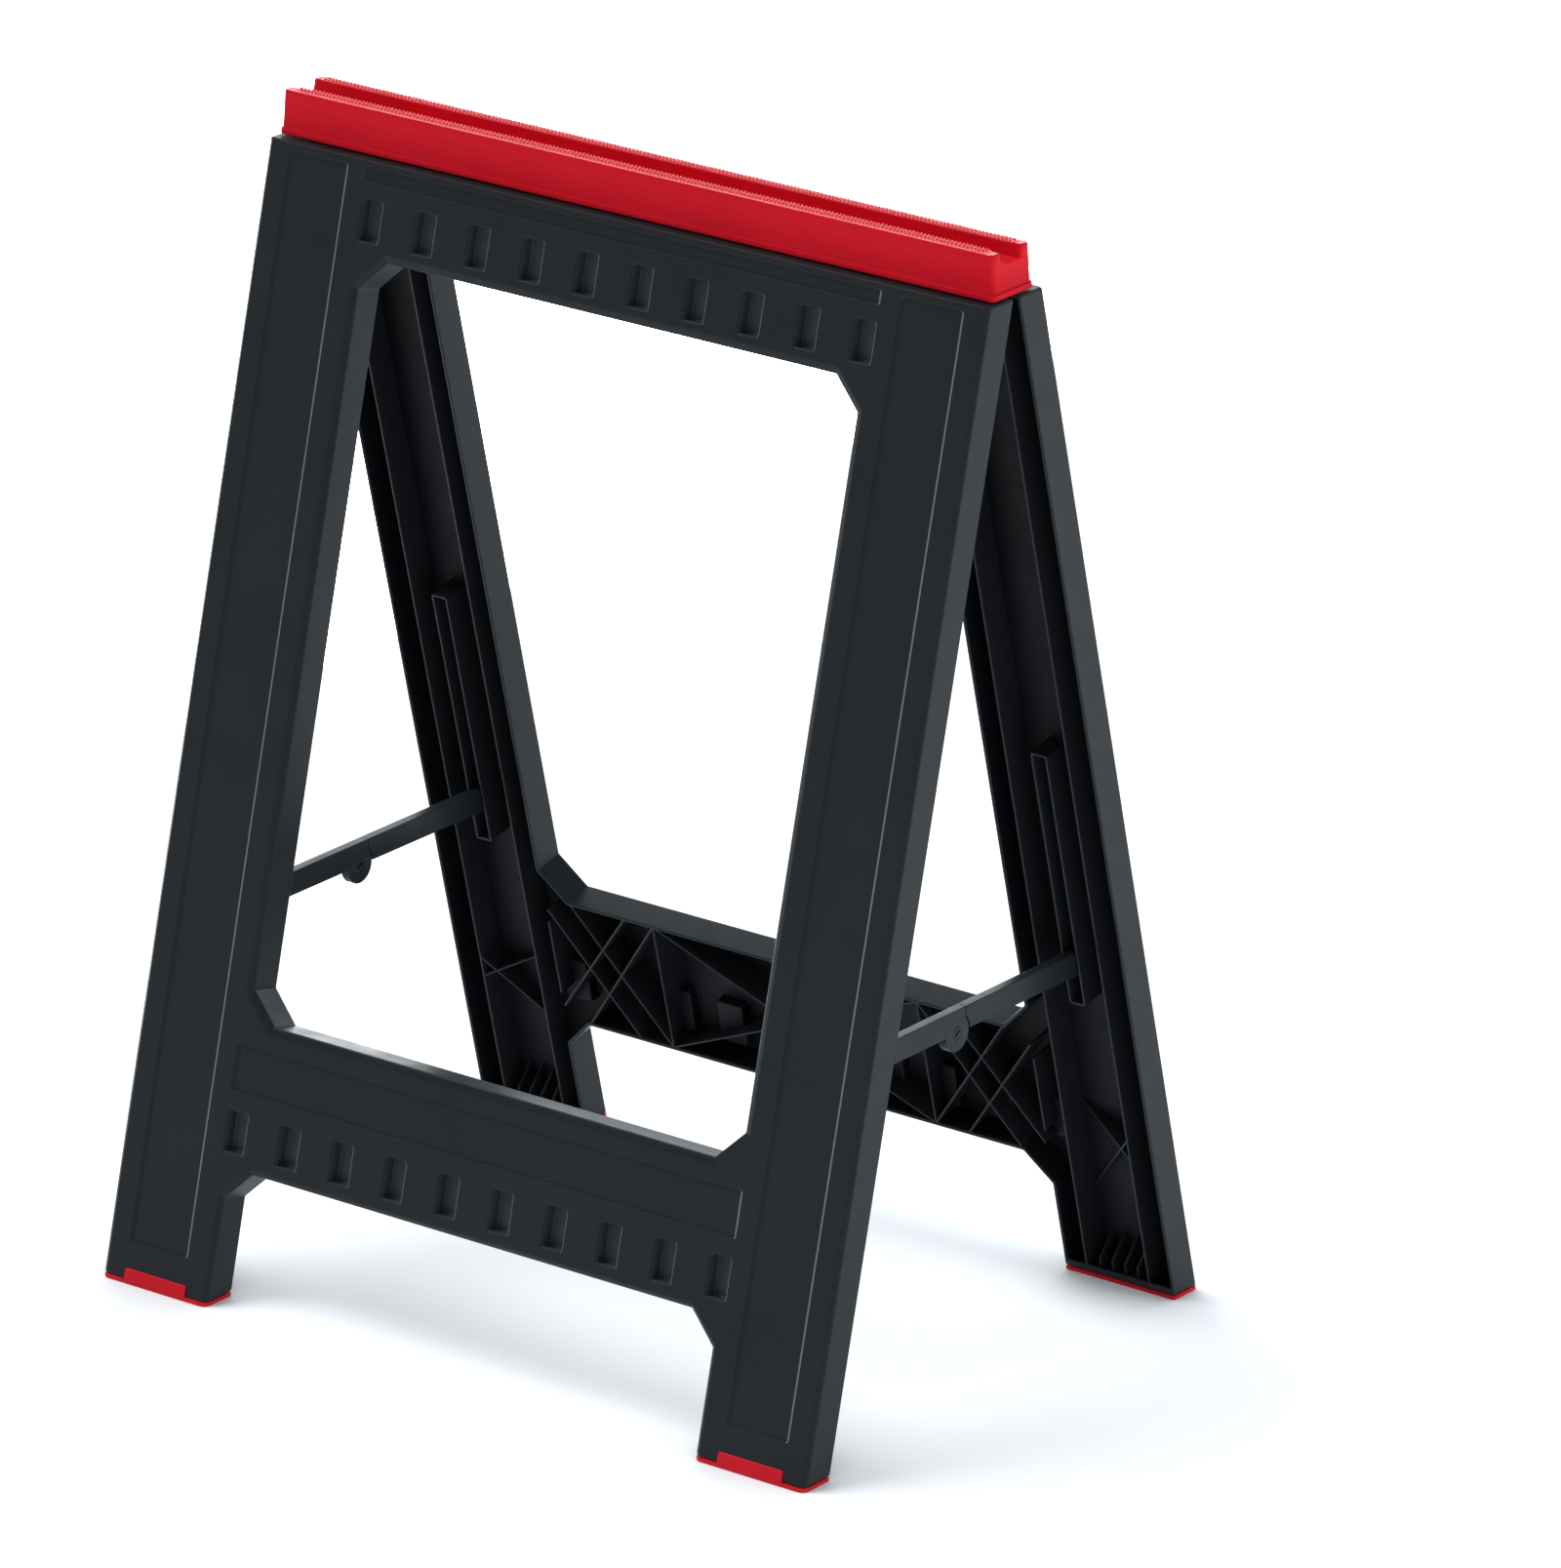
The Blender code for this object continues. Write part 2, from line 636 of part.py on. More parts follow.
def rail_bores():
    reach = EAR_WIDTH / 2 + BOSS_WIDTH + 2.5
    return [rod_x("bore", (side * station - reach, side * station + reach), y, HINGE_Z,
                  HINGE_PIN_RADIUS + CLEAR, 16)
            for side in (-1, 1) for station in HINGE_X for y in (-HINGE_HALF_GAP, HINGE_HALF_GAP)]


def grip_mesh(side):
    top = RAIL_Z + RAIL_HEIGHT
    middle = side * (RAIL_TOP_HALF + GROOVE_TOP_HALF) / 2
    half = GRIP_WIDTH / 2
    return box("grip", (-GRIP_HALF, GRIP_HALF), (middle - half, middle + half),
               (top - GRIP_RECESS, top - GRIP_RECESS + GRIP_HEIGHT))


# ---- Braces ----
def brace_outline():
    """Side outline of a bar: knee disc at the origin, rounded end round the frame pivot."""
    h, r, edge = BRACE_HEIGHT, KNEE_RADIUS, BRACE_EDGE
    start = math.acos(-BUTT / r)
    turn = 2 * math.pi + math.asin(edge / r) - start
    points = [(-BUTT, h)]
    for i in range(KNEE_STEPS + 1):
        a = start + turn * i / KNEE_STEPS
        points.append((r * math.cos(a), r * math.sin(a)))
    for i in range(END_STEPS + 1):
        a = -math.pi / 2 + math.pi * i / END_STEPS
        points.append((BRACE_SPAN + (h - edge) / 2 * math.cos(a),
                       (h + edge) / 2 + (h - edge) / 2 * math.sin(a)))
    return points


def brace_mesh(fork):
    """A brace bar with its knee pivot at the origin, running outward along +Y.

    The forked bar carries two thin side plates at the knee and the other bar a thin tongue, so
    that they pass each other anywhere in the fold."""
    w, reach = BRACE_WIDTH / 2, (-KNEE_RADIUS - 5.0, THIN_LENGTH)
    bar = profile_x("bar", brace_outline(), -w, w)
    height = (-KNEE_RADIUS - 5.0, BRACE_HEIGHT + 5.0)
    if fork:
        slot = TONGUE / 2 + KNEE_GAP
        cut(bar, box("slot", (-slot, slot), reach, height))
    else:
        for low, high in ((-w - 5.0, -TONGUE / 2), (TONGUE / 2, w + 5.0)):
            cut(bar, box("side", (low, high), reach, height))
    cut(bar, rod_x("eye", (-10, 10), BRACE_SPAN, BRACE_HEIGHT / 2, BRACE_PIN_RADIUS + CLEAR, 20))
    cut(bar, rod_x("eye", (-10, 10), 0.0, 0.0, KNEE_PIN_RADIUS + CLEAR, 20))
    return merge_flat(bar)


def about_frame_pivot(ob, front):
    """Move a bar's mesh so that its frame pivot is at the origin, turned round for the front."""
    sign = -1.0 if front else 1.0
    for v in ob.data.vertices:
        v.co = (sign * v.co.x, sign * (v.co.y - BRACE_SPAN * MM), v.co.z - BRACE_HEIGHT / 2 * MM)
    return ob


def knee_rivet(edge):
    """Half of a snap rivet: a head outside one fork plate, with its shank inside that plate."""
    w = BRACE_WIDTH / 2
    inner = TONGUE / 2 + KNEE_GAP + CLEAR
    half = rod_x("rivet", sorted((edge * (w + CLEAR), edge * (w + CLEAR + RIVET_HEAD))), 0.0, 0.0,
                 KNEE_PIN_RADIUS + RIVET_FLANGE, 24)
    add(half, rod_x("stem", sorted((edge * inner, edge * (w + 0.6))), 0.0, 0.0,
                    KNEE_PIN_RADIUS, 20))
    return half


def build():
    red = material("red_plastic", RED, 0.42)
    grip = material("grip_rubber", GRIP_RED, 0.6)
    sole = material("foot_rubber", RED, 0.5)
    black = material("black_plastic", BLACK, 0.45)
    steel = material("steel", STEEL, 0.3, 1.0)

    finish(rail_mesh(), "top_rail", red)
    finish(grip_mesh(-1), "front_grip_strip", grip)
    finish(grip_mesh(1), "rear_grip_strip", grip)

    frame = frame_mesh()
    rear = bpy.data.objects.new("rear_frame", frame.data)
    CUTTERS.objects.link(rear)
    front_pivot = pivot("front_frame_pivot", 0.0, -HINGE_HALF_GAP, HINGE_Z)
    rear_pivot = pivot("rear_frame_pivot", 0.0, HINGE_HALF_GAP, HINGE_Z)
    front_pivot.rotation_euler = (-LEAN, 0.0, 0.0)
    rear_pivot.rotation_euler = (-LEAN, 0.0, math.pi)
    finish(frame, "front_frame", black)
    finish(rear, "rear_frame", black)
    frame.parent = front_pivot
    rear.parent = rear_pivot

    for front, prefix in ((True, "front"), (False, "rear")):
        turn = 0.0 if front else math.pi
        for side, hand in ((-1, "left"), (1, "right")):
            foot = foot_mesh(side if front else -side)
            foot.rotation_euler = (0.0, 0.0, turn)
            finish(foot, prefix + "_foot_cap_" + hand, sole)
        for side, hand in ((-1, "left"), (1, "right")):
            for station, place in zip(HINGE_X, ("outer", "inner")):
                y = -HINGE_HALF_GAP if front else HINGE_HALF_GAP
                reach = EAR_WIDTH / 2 + 0.6 + BOSS_WIDTH + 1.0
                x = side * station
                pin = rod_x("pin", (-reach, reach), 0.0, 0.0, HINGE_PIN_RADIUS, 16)
                pin.location = (x * MM, y * MM, HINGE_Z * MM)
                finish(pin, prefix + "_hinge_pin_" + hand + "_" + place, steel, smooth=True)

    for side, hand in ((-1, "left"), (1, "right")):
        for fork, prefix in ((True, "front"), (False, "rear")):
            out = -1 if fork else 1
            anchor = pivot(prefix + "_brace_pivot_" + hand, side * BRACE_X, out * BRACE_SPAN,
                           KNEE_Z + BRACE_HEIGHT / 2)
            bar = about_frame_pivot(brace_mesh(fork), fork)
            finish(bar, prefix + "_brace_" + hand, black)
            bar.parent = anchor
            pin = rod_x("pin", (-BOX_HALF - 2.2, BOX_HALF + 2.2), 0.0, 0.0, BRACE_PIN_RADIUS, 20)
            finish(pin, prefix + "_brace_pin_" + hand, steel, smooth=True)
            pin.parent = anchor
        for edge, face in ((-1, "a"), (1, "b")):
            rivet = knee_rivet(edge)
            rivet.location = (side * BRACE_X * MM, 0.0, KNEE_Z * MM)
            finish(rivet, "knee_rivet_" + hand + "_" + face, black, smooth=True)


build()
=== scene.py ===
"""Folding sawhorse: detailed mouldings, grips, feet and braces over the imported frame.

X runs along the rail, Y is the depth (the front is at -Y) and Z is up, all in metres.
Each leg frame is shaped upright in its own coordinates and then leaned out on its hinge.
"""
import json
import math

import bmesh
import bpy
from mathutils import Matrix, Vector
from mathutils.geometry import tessellate_polygon


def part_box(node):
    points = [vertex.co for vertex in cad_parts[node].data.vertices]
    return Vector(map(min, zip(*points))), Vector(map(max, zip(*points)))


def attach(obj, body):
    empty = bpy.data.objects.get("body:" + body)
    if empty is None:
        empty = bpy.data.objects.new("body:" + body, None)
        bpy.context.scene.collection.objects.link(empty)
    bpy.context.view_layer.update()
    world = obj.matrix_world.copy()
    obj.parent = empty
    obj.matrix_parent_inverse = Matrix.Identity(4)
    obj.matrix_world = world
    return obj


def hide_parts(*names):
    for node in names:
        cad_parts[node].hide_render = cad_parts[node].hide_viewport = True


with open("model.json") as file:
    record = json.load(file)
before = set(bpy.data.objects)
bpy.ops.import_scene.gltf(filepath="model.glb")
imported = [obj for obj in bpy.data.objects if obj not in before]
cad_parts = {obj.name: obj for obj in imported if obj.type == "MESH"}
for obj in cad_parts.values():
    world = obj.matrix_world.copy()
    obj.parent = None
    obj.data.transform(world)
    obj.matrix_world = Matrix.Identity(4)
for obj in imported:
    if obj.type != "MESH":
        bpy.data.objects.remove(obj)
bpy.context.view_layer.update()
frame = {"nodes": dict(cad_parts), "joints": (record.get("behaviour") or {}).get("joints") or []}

MM = 0.001

# ---- Places taken from the frame ----
JOINT = {joint["name"]: joint for joint in frame["joints"]}
HINGE = Vector(JOINT["front_frame_fold"]["pos_m"])
RAIL_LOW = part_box("top_rail")[0]
KNEE = (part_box("knee_rivet_right_a")[0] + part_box("knee_rivet_right_b")[1]) / 2

# ---- Leg frame, in millimetres ----
LEAN = math.radians(14.0)
HALF_WIDTH = 282.0
RIM_LENGTH = 736.0
OPENING_HALF = 196.0
MAIN_TOP = 67.0
MAIN_BOTTOM = 557.5
LOWER_TOP = 653.5
CHAMFER = 20.0
HINGE_HALF_GAP = 5.0
TOP_HALF_GAP = 3.0
HINGE_ABOVE_TOP = 5.0
RIM_Y = (HINGE_HALF_GAP - TOP_HALF_GAP) * math.cos(LEAN) + HINGE_ABOVE_TOP * math.sin(LEAN)
RIM_TOP = (HINGE_HALF_GAP - TOP_HALF_GAP) * math.sin(LEAN) - HINGE_ABOVE_TOP * math.cos(LEAN)
WALL = 2.5
FLOOR_WALL = 5.0
SKIN = 21.4               # depth of the skin's back, from the rim
FACE = 24.2               # depth of the front face, from the rim
CORNER = 1.6
CORNER_STEPS = 4
LEVEL_FROM = 40.0         # this far beyond the openings, the top edge and the feet begin
SHARP = math.radians(48.0)  # edges that turn by more than this are shaded sharp

# Profile of every moulded wall, from the skin's back round the rim to the front face, as (inset
# at the opening, inset at the sides, inset at the top, inset at the feet, depth from the rim).
WALL_PROFILE = (
    (WALL + 1.0, WALL + 1.0, WALL + 1.0, FLOOR_WALL + 1.0, SKIN),
    (WALL + 0.3, WALL + 0.3, WALL + 0.3, FLOOR_WALL + 0.3, SKIN - 0.3),
    (WALL, WALL, WALL, FLOOR_WALL, SKIN - 1.0),
    (WALL - 0.2, WALL - 0.2, WALL - 0.2, FLOOR_WALL, 1.0),
    (WALL - 0.4, WALL - 0.4, WALL - 0.4, FLOOR_WALL - 0.2, 0.4),
    (WALL - 0.9, WALL - 0.9, WALL - 0.9, FLOOR_WALL - 0.7, 0.0),
    (0.8, 0.8, 0.8, 0.8, 0.0),
    (0.25, 0.25, 0.25, 0.25, 0.22),
    (0.0, 0.0, 0.0, 0.0, 0.8),
    (0.0, 0.0, 0.0, 0.0, 21.4),
    (0.2, 0.15, 0.0, 0.0, 22.3),
    (0.9, 0.6, 0.0, 0.0, 22.8),
    (4.1, 2.5, 0.2, 0.1, 23.95),
    (4.8, 3.0, 0.6, 0.3, 24.14),
    (5.5, 3.7, 1.4, 0.9, FACE),
)

# ---- Front face, along the leg from the rim's top ----
PANEL_X = (216.0, 264.4)
PANEL_S = (11.0, 718.0)
BAND_HALF = 202.0
TOP_BAND = (9.8, 19.6)
LOW_BAND = (573.0, 604.0)
POCKETS = 10
POCKET_SPAN = 386.0
POCKET_SIZE = (18.5, 28.5)
POCKET_ROWS = (43.5, 630.0)
POCKET_WALL = 1.6
POCKET_CORNER = 2.6
BAND_CORNER = 1.8
PANEL_CORNER = 2.2
BULGE_CORNER = 2.4
# Recess profiles: (inset at the sides, inset at top and bottom, depth below the face).
SHALLOW = ((0.0, 0.0, 0.0), (0.15, 0.1, 0.03), (0.4, 0.2, 0.15), (2.2, 0.5, 1.28),
           (2.45, 0.6, 1.38), (2.8, 0.9, 1.4))
DEEP = ((0.0, 0.0, 0.0), (0.5, 0.35, 0.08), (1.1, 0.7, 0.4), (1.4, 0.9, 0.9), (1.5, 1.0, 1.7),
        (1.6, 1.15, 8.0), (1.9, 1.45, 8.7), (2.6, 2.2, 9.0))
POCKET_BACK = 13.6
# Back of a pocket: (inset, depth from the rim).
BULGE = ((-1.0, SKIN), (-0.3, SKIN - 0.3), (0.0, SKIN - 1.0), (0.3, POCKET_BACK + 1.0),
         (0.6, POCKET_BACK + 0.3), (1.4, POCKET_BACK))

# ---- Ribs inside the frame ----
RIB = 1.5
RIB_SETBACK = 0.6
RIB_START = 6.6
LEG_RIBS = (213.0, 262.0)
BOX_X = 239.2
BOX_HALF = 6.3
BOX_S = (340.0, 525.0)
LATTICE_X = 106.5
GUSSETS = 4
GUSSET_RISE = 20.0
GUSSET_LIP = 7.0
GUSSET_EDGE = 3.0         # depth of a gusset's edge nearest the rim, from the rim
SUNK_IN = 0.4             # how far a rib's foot goes into the skin or a pocket's back
WEB_LOW = SKIN - 0.4      # depth to which the slanting webs fall, from the rim

# ---- Rail and grips, in millimetres from the rail's bottom ----
RAIL_HALF = 278.9
RAIL_SIDE = 20.35
RAIL_RISE = 28.8
RAIL_DRAFT = 1.5 / 28.8     # the ends lean in
SIDE_DRAFT = 0.95 / 28.8
LIP_RISE = 3.9
LIP = 0.95
RAIL_CORNER = 3.6
GROOVE_HALF = 10.4
GROOVE_DEPTH = 8.3
GROOVE_DRAFT = 1.4 / 8.3
GROOVE_CORNER = 3.0
GRIP_ROWS = {-1: (-11.7, -13.7), 1: (11.8, 13.8, 15.8)}   # front ridge, rear ridge
GRIP_MARGIN = 1.05
GRIP_PITCH = 2.93
GRIP_DOT = 1.1
GRIP_RISE = 1.2
GRIP_BORDER = 6.0
GRIP_CORNER = 1.6
STUD_FOOT = 0.25            # height of a stud's foot above the ridge
STUD_SIDES = 8
STUD_PROFILE = ((1.0, 0.0), (0.82, 0.6), (0.42, 0.95))      # shares of radius and rise

# ---- Feet, in millimetres ----
SOLE_TOP = 2.6
SOLE_PROFILE = ((0.5, 0.0), (0.1, 0.25), (0.0, 0.7), (0.0, 2.2),
                (0.25, SOLE_TOP))                           # (inset, height)
SOLE_CORNERS = (5.0, 5.0, 1.2, 1.2)
TAB_HALF = 25.0
TAB_BASE = 2.1
TAB_RISE = 9.8
TAB_THICK = 1.3
TAB_CORNERS = (0.1, 0.1, 0.9, 0.9)

# ---- Braces, in millimetres ----
BRACE_SPAN = 129.0
BRACE_HEIGHT = 16.0
BRACE_HALF = 3.35
DISC_RADIUS = 12.0
BUTT = 8.5
SEAM = 0.25               # half the gap where the two bars butt
PLATE_GAP = 0.4
TONGUE_HALF = 1.0
DISC_SINK = 0.4            # the disc plates lie below the bars' faces
PIN_HEAD = 4.2
PIN_GAP = 0.35
PIN_SLOT = (2.9, 0.75)
PIN_TURN = math.radians(35.0)
PIN_SIDES = 36

# Which of a moulding's materials a face takes: the plain black; a darker copy where shade falls
# inside the frame, painted shade; a paler copy for the pockets' walls and floors, painted light;
# and a bright copy on the recesses' right-hand walls, a painted highlight.
OUTER, INNER_SHADE, POCKET_LIT, EDGE_HIGHLIGHT = 0, 1, 2, 3

# ---- Stage, in metres ----
FLOOR_HALF = 40.0
FLOOR_GLOW = 0.42
# Dimming the floor's glow next to things paints a contact shadow.
CONTACT_SHADOW_REACH = 0.07      # how near something has to be to dim the floor's glow
WORLD_LIGHT = 0.36
KEY_LIGHT = 1.7
KEY_TOWARDS = (0.42, 0.16, -0.89)
KEY_ANGLE = 32.0
LIT_POINT = (0.0, 0.0, 0.35)
BACK_LIGHT = 145.0
BACK_PLACE = (-1.5, 3.9, 1.6)
BACK_SIZE = (7.0, 2.6)
RIGHT_LIGHT = 31.0
RIGHT_PLACE = (3.6, 0.4, 1.5)
RIGHT_SIZE = (1.8, 2.2)
CARD_GLOW = 7.0
CARD_PLACE = (-3.4, 1.56, 0.003)
CARD_HALF = (2.5, 1.6, 1.0)
COOL = (0.86, 0.95, 1.0)
WHITE = (1.0, 1.0, 1.0)

# ---- Camera ----
CAMERA_PLACE = (4.46724, -5.70918, 3.03089)
CAMERA_YAW, CAMERA_PITCH, CAMERA_ROLL = (math.radians(a) for a in (37.392, -20.371, 0.207))
LENS = 283.8


# ---------------------------------------------------------------- outlines
def offset_polygon(points, distances):
    """Move every edge of a counter-clockwise outline inward by its own distance."""
    count = len(points)
    lines = []
    for i, (x, z) in enumerate(points):
        nx, nz = points[(i + 1) % count]
        length = math.hypot(nx - x, nz - z)
        dx, dz = (nx - x) / length, (nz - z) / length
        lines.append((x - dz * distances[i], z + dx * distances[i], dx, dz))
    moved = []
    for i in range(count):
        ax, az, adx, adz = lines[i - 1]
        bx, bz, bdx, bdz = lines[i]
        cross = adx * bdz - adz * bdx
        along = ((bx - ax) * bdz - (bz - az) * bdx) / cross
        moved.append((ax + adx * along, az + adz * along))
    return moved


def fillet(points, radius, steps=CORNER_STEPS):
    """Round every corner of an outline with an arc of that radius."""
    result = []
    count = len(points)
    radii = radius if isinstance(radius, (list, tuple)) else [radius] * count
    for i, (x, z) in enumerate(points):
        next_x, next_z = points[(i + 1) % count]
        back = Vector((points[i - 1][0] - x, points[i - 1][1] - z)).normalized()
        ahead = Vector((next_x - x, next_z - z)).normalized()
        half = back.angle(ahead) / 2
        reach = radii[i] / math.tan(half)
        centre = Vector((x, z)) + (back + ahead).normalized() * radii[i] / math.sin(half)
        start = Vector((x, z)) + back * reach - centre
        end = Vector((x, z)) + ahead * reach - centre
        turn = math.atan2(start.x * end.y - start.y * end.x, start.dot(end))
        for k in range(steps + 1):
            a = turn * k / steps
            cos_a, sin_a = math.cos(a), math.sin(a)
            result.append((centre.x + start.x * cos_a - start.y * sin_a,
                           centre.y + start.x * sin_a + start.y * cos_a))
    return result


def rectangle(x, z):
    return [(x[0], z[0]), (x[1], z[0]), (x[1], z[1]), (x[0], z[1])]


def at(s):
    """Height in the frame's own coordinates of a point s down the leg from the rim's top."""
    return RIM_TOP - s


def frame_outline():
    w, o, c = HALF_WIDTH, OPENING_HALF, CHAMFER
    bottom, low = at(RIM_LENGTH), at(LOWER_TOP)
    return [(w, at(0)), (-w, at(0)), (-w, bottom), (-o, bottom), (-o, low - c), (-o + c, low),
            (o - c, low), (o, low - c), (o, bottom), (w, bottom)]


def main_opening():
    o, c, top, low = OPENING_HALF, CHAMFER, at(MAIN_TOP), at(MAIN_BOTTOM)
    return [(-o, low + c), (-o + c, low), (o - c, low), (o, low + c),
            (o, top - c), (o - c, top), (-o + c, top), (-o, top - c)]


# ---------------------------------------------------------------- mesh helpers
def ring(bm, points, depth):
    """Vertices of one closed loop at a depth from the rim."""
    return [bm.verts.new((x * MM, (RIM_Y - depth) * MM, z * MM)) for x, z in points]


def level_ring(bm, points, z):
    """Vertices of one closed loop in plan, at a height in metres."""
    return [bm.verts.new((x * MM, y * MM, z)) for x, y in points]


def upright_ring(bm, points, x):
    """Vertices of one closed loop of (y, z) points at x, in millimetres."""
    return [bm.verts.new((x * MM, y * MM, z * MM)) for y, z in points]


def bridge(bm, low, high, kind=OUTER):
    """A band of faces between two loops of the same length."""
    count = len(low)
    for i in range(count):
        j = (i + 1) % count
        bm.faces.new((low[i], low[j], high[j], high[i])).material_index = kind


def stack(bm, rings, kind=OUTER):
    """Bands of faces through a row of loops."""
    for low, high in zip(rings, rings[1:]):
        bridge(bm, low, high, kind)


def fill(bm, loops, axes=(0, 2), kind=OUTER):
    """Fill a flat area bounded by its first loop and pierced by the others."""
    a, b = axes
    flat = [[Vector((v.co[a], v.co[b], 0.0)) for v in loop] for loop in loops]
    verts = [v for loop in loops for v in loop]
    for triangle in tessellate_polygon(flat):
        if len(set(triangle)) == 3:
            bm.faces.new([verts[i] for i in triangle]).material_index = kind


def weighted(ob):
    """Smooth shading that keeps flat areas flat."""
    ob.data.shade_smooth()
    ob.data.set_sharp_from_angle(angle=SHARP)
    mod = ob.modifiers.new("flat_normals", "WEIGHTED_NORMAL")
    mod.keep_sharp = True
    mod.weight = 80


def link(name, data):
    ob = bpy.data.objects.new(name, data)
    bpy.context.scene.collection.objects.link(ob)
    return ob


def make_piece(name, bm, mat, body, replaces=(), move=None):
    """Turn a bmesh into a named piece that rides on a body."""
    bmesh.ops.recalc_face_normals(bm, faces=bm.faces)
    mesh = bpy.data.meshes.new(name)
    bm.to_mesh(mesh)
    bm.free()
    if move is not None:
        mesh.transform(move)
    ob = link(name, mesh)
    for one in mat if isinstance(mat, (list, tuple)) else [mat]:
        mesh.materials.append(one)
    weighted(ob)
    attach(ob, body)
    if replaces:
        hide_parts(*replaces)


# ---------------------------------------------------------------- materials
def node(tree, kind, **values):
    made = tree.nodes.new(kind)
    for key, value in values.items():
        setattr(made, key, value)
    return made


def noise(tree, coords, scale, detail=2.0, roughness=0.5):
    made = node(tree, "ShaderNodeTexNoise")
    made.inputs["Scale"].default_value = scale
    made.inputs["Detail"].default_value = detail
    made.inputs["Roughness"].default_value = roughness
    tree.links.new(coords, made.inputs["Vector"])
    return made.outputs["Fac"]


def spread(tree, value, low, high, from_low=0.3, from_high=0.7):
    """Map a value's range onto low to high."""
    made = node(tree, "ShaderNodeMapRange")
    made.inputs["From Min"].default_value = from_low
    made.inputs["From Max"].default_value = from_high
    made.inputs["To Min"].default_value = low
    made.inputs["To Max"].default_value = high
    tree.links.new(value, made.inputs["Value"])
    return made.outputs["Result"]


def blend_colour(tree, factor, first, second):
    made = node(tree, "ShaderNodeMix", data_type="RGBA")
    tree.links.new(factor, made.inputs["Factor"])
    for socket, value in ((made.inputs["A"], first), (made.inputs["B"], second)):
        if isinstance(value, bpy.types.NodeSocket):
            tree.links.new(value, socket)
        else:
            socket.default_value = (*value, 1.0)
    return made.outputs["Result"]


def moulded_plastic(name, colour, light, roughness, grain, specular):
    """Injection-moulded plastic: faint mottling, fine spark-eroded grain and convex edges lightened
    as a painted highlight.
    """
    mat = bpy.data.materials.new(name)
    mat.use_nodes = True
    tree = mat.node_tree
    shader = tree.nodes["Principled BSDF"]
    shader.inputs["Specular IOR Level"].default_value = specular
    coords = node(tree, "ShaderNodeTexCoord").outputs["Object"]
    mottle = noise(tree, coords, 14.0, 3.0)
    tint = blend_colour(tree, spread(tree, mottle, 0.0, 1.0), colour, light)
    # Convex edges are lightened: a painted highlight.
    edge = node(tree, "ShaderNodeNewGeometry").outputs["Pointiness"]
    highlight_mask = spread(tree, edge, 0.0, 0.35, 0.52, 0.62)
    highlight_colour = tuple(min(1.0, c * 1.9 + 0.02) for c in colour)
    tree.links.new(blend_colour(tree, highlight_mask, tint, highlight_colour), shader.inputs["Base Color"])
    rough = spread(tree, noise(tree, coords, 60.0, 4.0), roughness - 0.05, roughness + 0.05)
    tree.links.new(rough, shader.inputs["Roughness"])
    fine = noise(tree, coords, 1500.0, 2.0)
    bump = node(tree, "ShaderNodeBump")
    bump.inputs["Strength"].default_value = grain
    bump.inputs["Distance"].default_value = 0.05 * MM
    tree.links.new(fine, bump.inputs["Height"])
    tree.links.new(bump.outputs["Normal"], shader.inputs["Normal"])
    return mat


def black_plastics():
    """The frames' black and its copies, in the order of the material indices.

    Plain; darker inside the frame, painted shade; paler in the pockets, painted light; bright on
    the recesses' right-hand walls, a painted highlight.
    """
    return [moulded_plastic("black_plastic", (0.0135, 0.0168, 0.019), (0.0165, 0.020, 0.0225),
                            0.34, 0.35, 0.15),
            # Darker copy for the faces inside the frame: painted shade.
            moulded_plastic("black_inner_painted_shade", (0.0055, 0.0068, 0.0095), (0.008, 0.0095, 0.0125),
                            0.5, 0.3, 0.15),
            # Paler copy for the pockets' walls and floors: painted light.
            moulded_plastic("black_pocket_painted_light", (0.042, 0.050, 0.055), (0.048, 0.056, 0.061),
                            0.5, 0.35, 0.3),
            # Bright, glossier copy for the recesses' right-hand walls: painted highlight.
            moulded_plastic("black_edge_painted_highlight", (0.105, 0.130, 0.140), (0.120, 0.146, 0.156),
                            0.26, 0.15, 0.6)]


def red_plastic():
    return moulded_plastic("red_plastic", (0.55, 0.003, 0.012), (0.60, 0.0045, 0.015),
                           0.36, 0.25, 0.05)


def grip_rubber():
    return moulded_plastic("grip_rubber", (0.88, 0.030, 0.040), (0.93, 0.036, 0.046),
                           0.34, 0.25, 0.5)


def foot_rubber():
    return moulded_plastic("foot_rubber", (0.58, 0.006, 0.016), (0.64, 0.008, 0.02),
                           0.45, 0.3, 0.12)


def brushed_steel(name):
    """Steel with a finely uneven polish."""
    mat = bpy.data.materials.new(name)
    mat.use_nodes = True
    tree = mat.node_tree
    shader = tree.nodes["Principled BSDF"]
    shader.inputs["Metallic"].default_value = 1.0
    shader.inputs["Base Color"].default_value = (0.42, 0.43, 0.45, 1.0)
    coords = node(tree, "ShaderNodeTexCoord").outputs["Object"]
    lines = noise(tree, coords, 400.0, 3.0)
    tree.links.new(spread(tree, lines, 0.22, 0.42), shader.inputs["Roughness"])
    return mat


# ---------------------------------------------------------------- leg frames
def wall_ring(bm, outline, row, opening):
    """One row of WALL_PROFILE round the frame's outline or its opening."""
    hole, side, top, bottom, depth = row
    count = len(outline)
    distances = []
    for i, (_, z) in enumerate(outline):
        level = abs(z - outline[(i + 1) % count][1]) < 1e-6
        if opening:
            distances.append(-hole)
        elif level and z == at(0):
            distances.append(top)
        elif level and z == at(RIM_LENGTH):
            distances.append(bottom)
        else:
            distances.append(side)
    points = fillet(offset_polygon(outline, distances), CORNER)
    if not opening:
        drop = depth * math.tan(LEAN)
        points = [(x, z - drop if beyond_openings(z) else z) for x, z in points]
    return ring(bm, points, depth)


def beyond_openings(z):
    """Whether a height is in the top edge or a foot, which lie level when the frame is open."""
    return z > at(MAIN_TOP) + LEVEL_FROM or z < at(LOWER_TOP + CHAMFER) - LEVEL_FROM


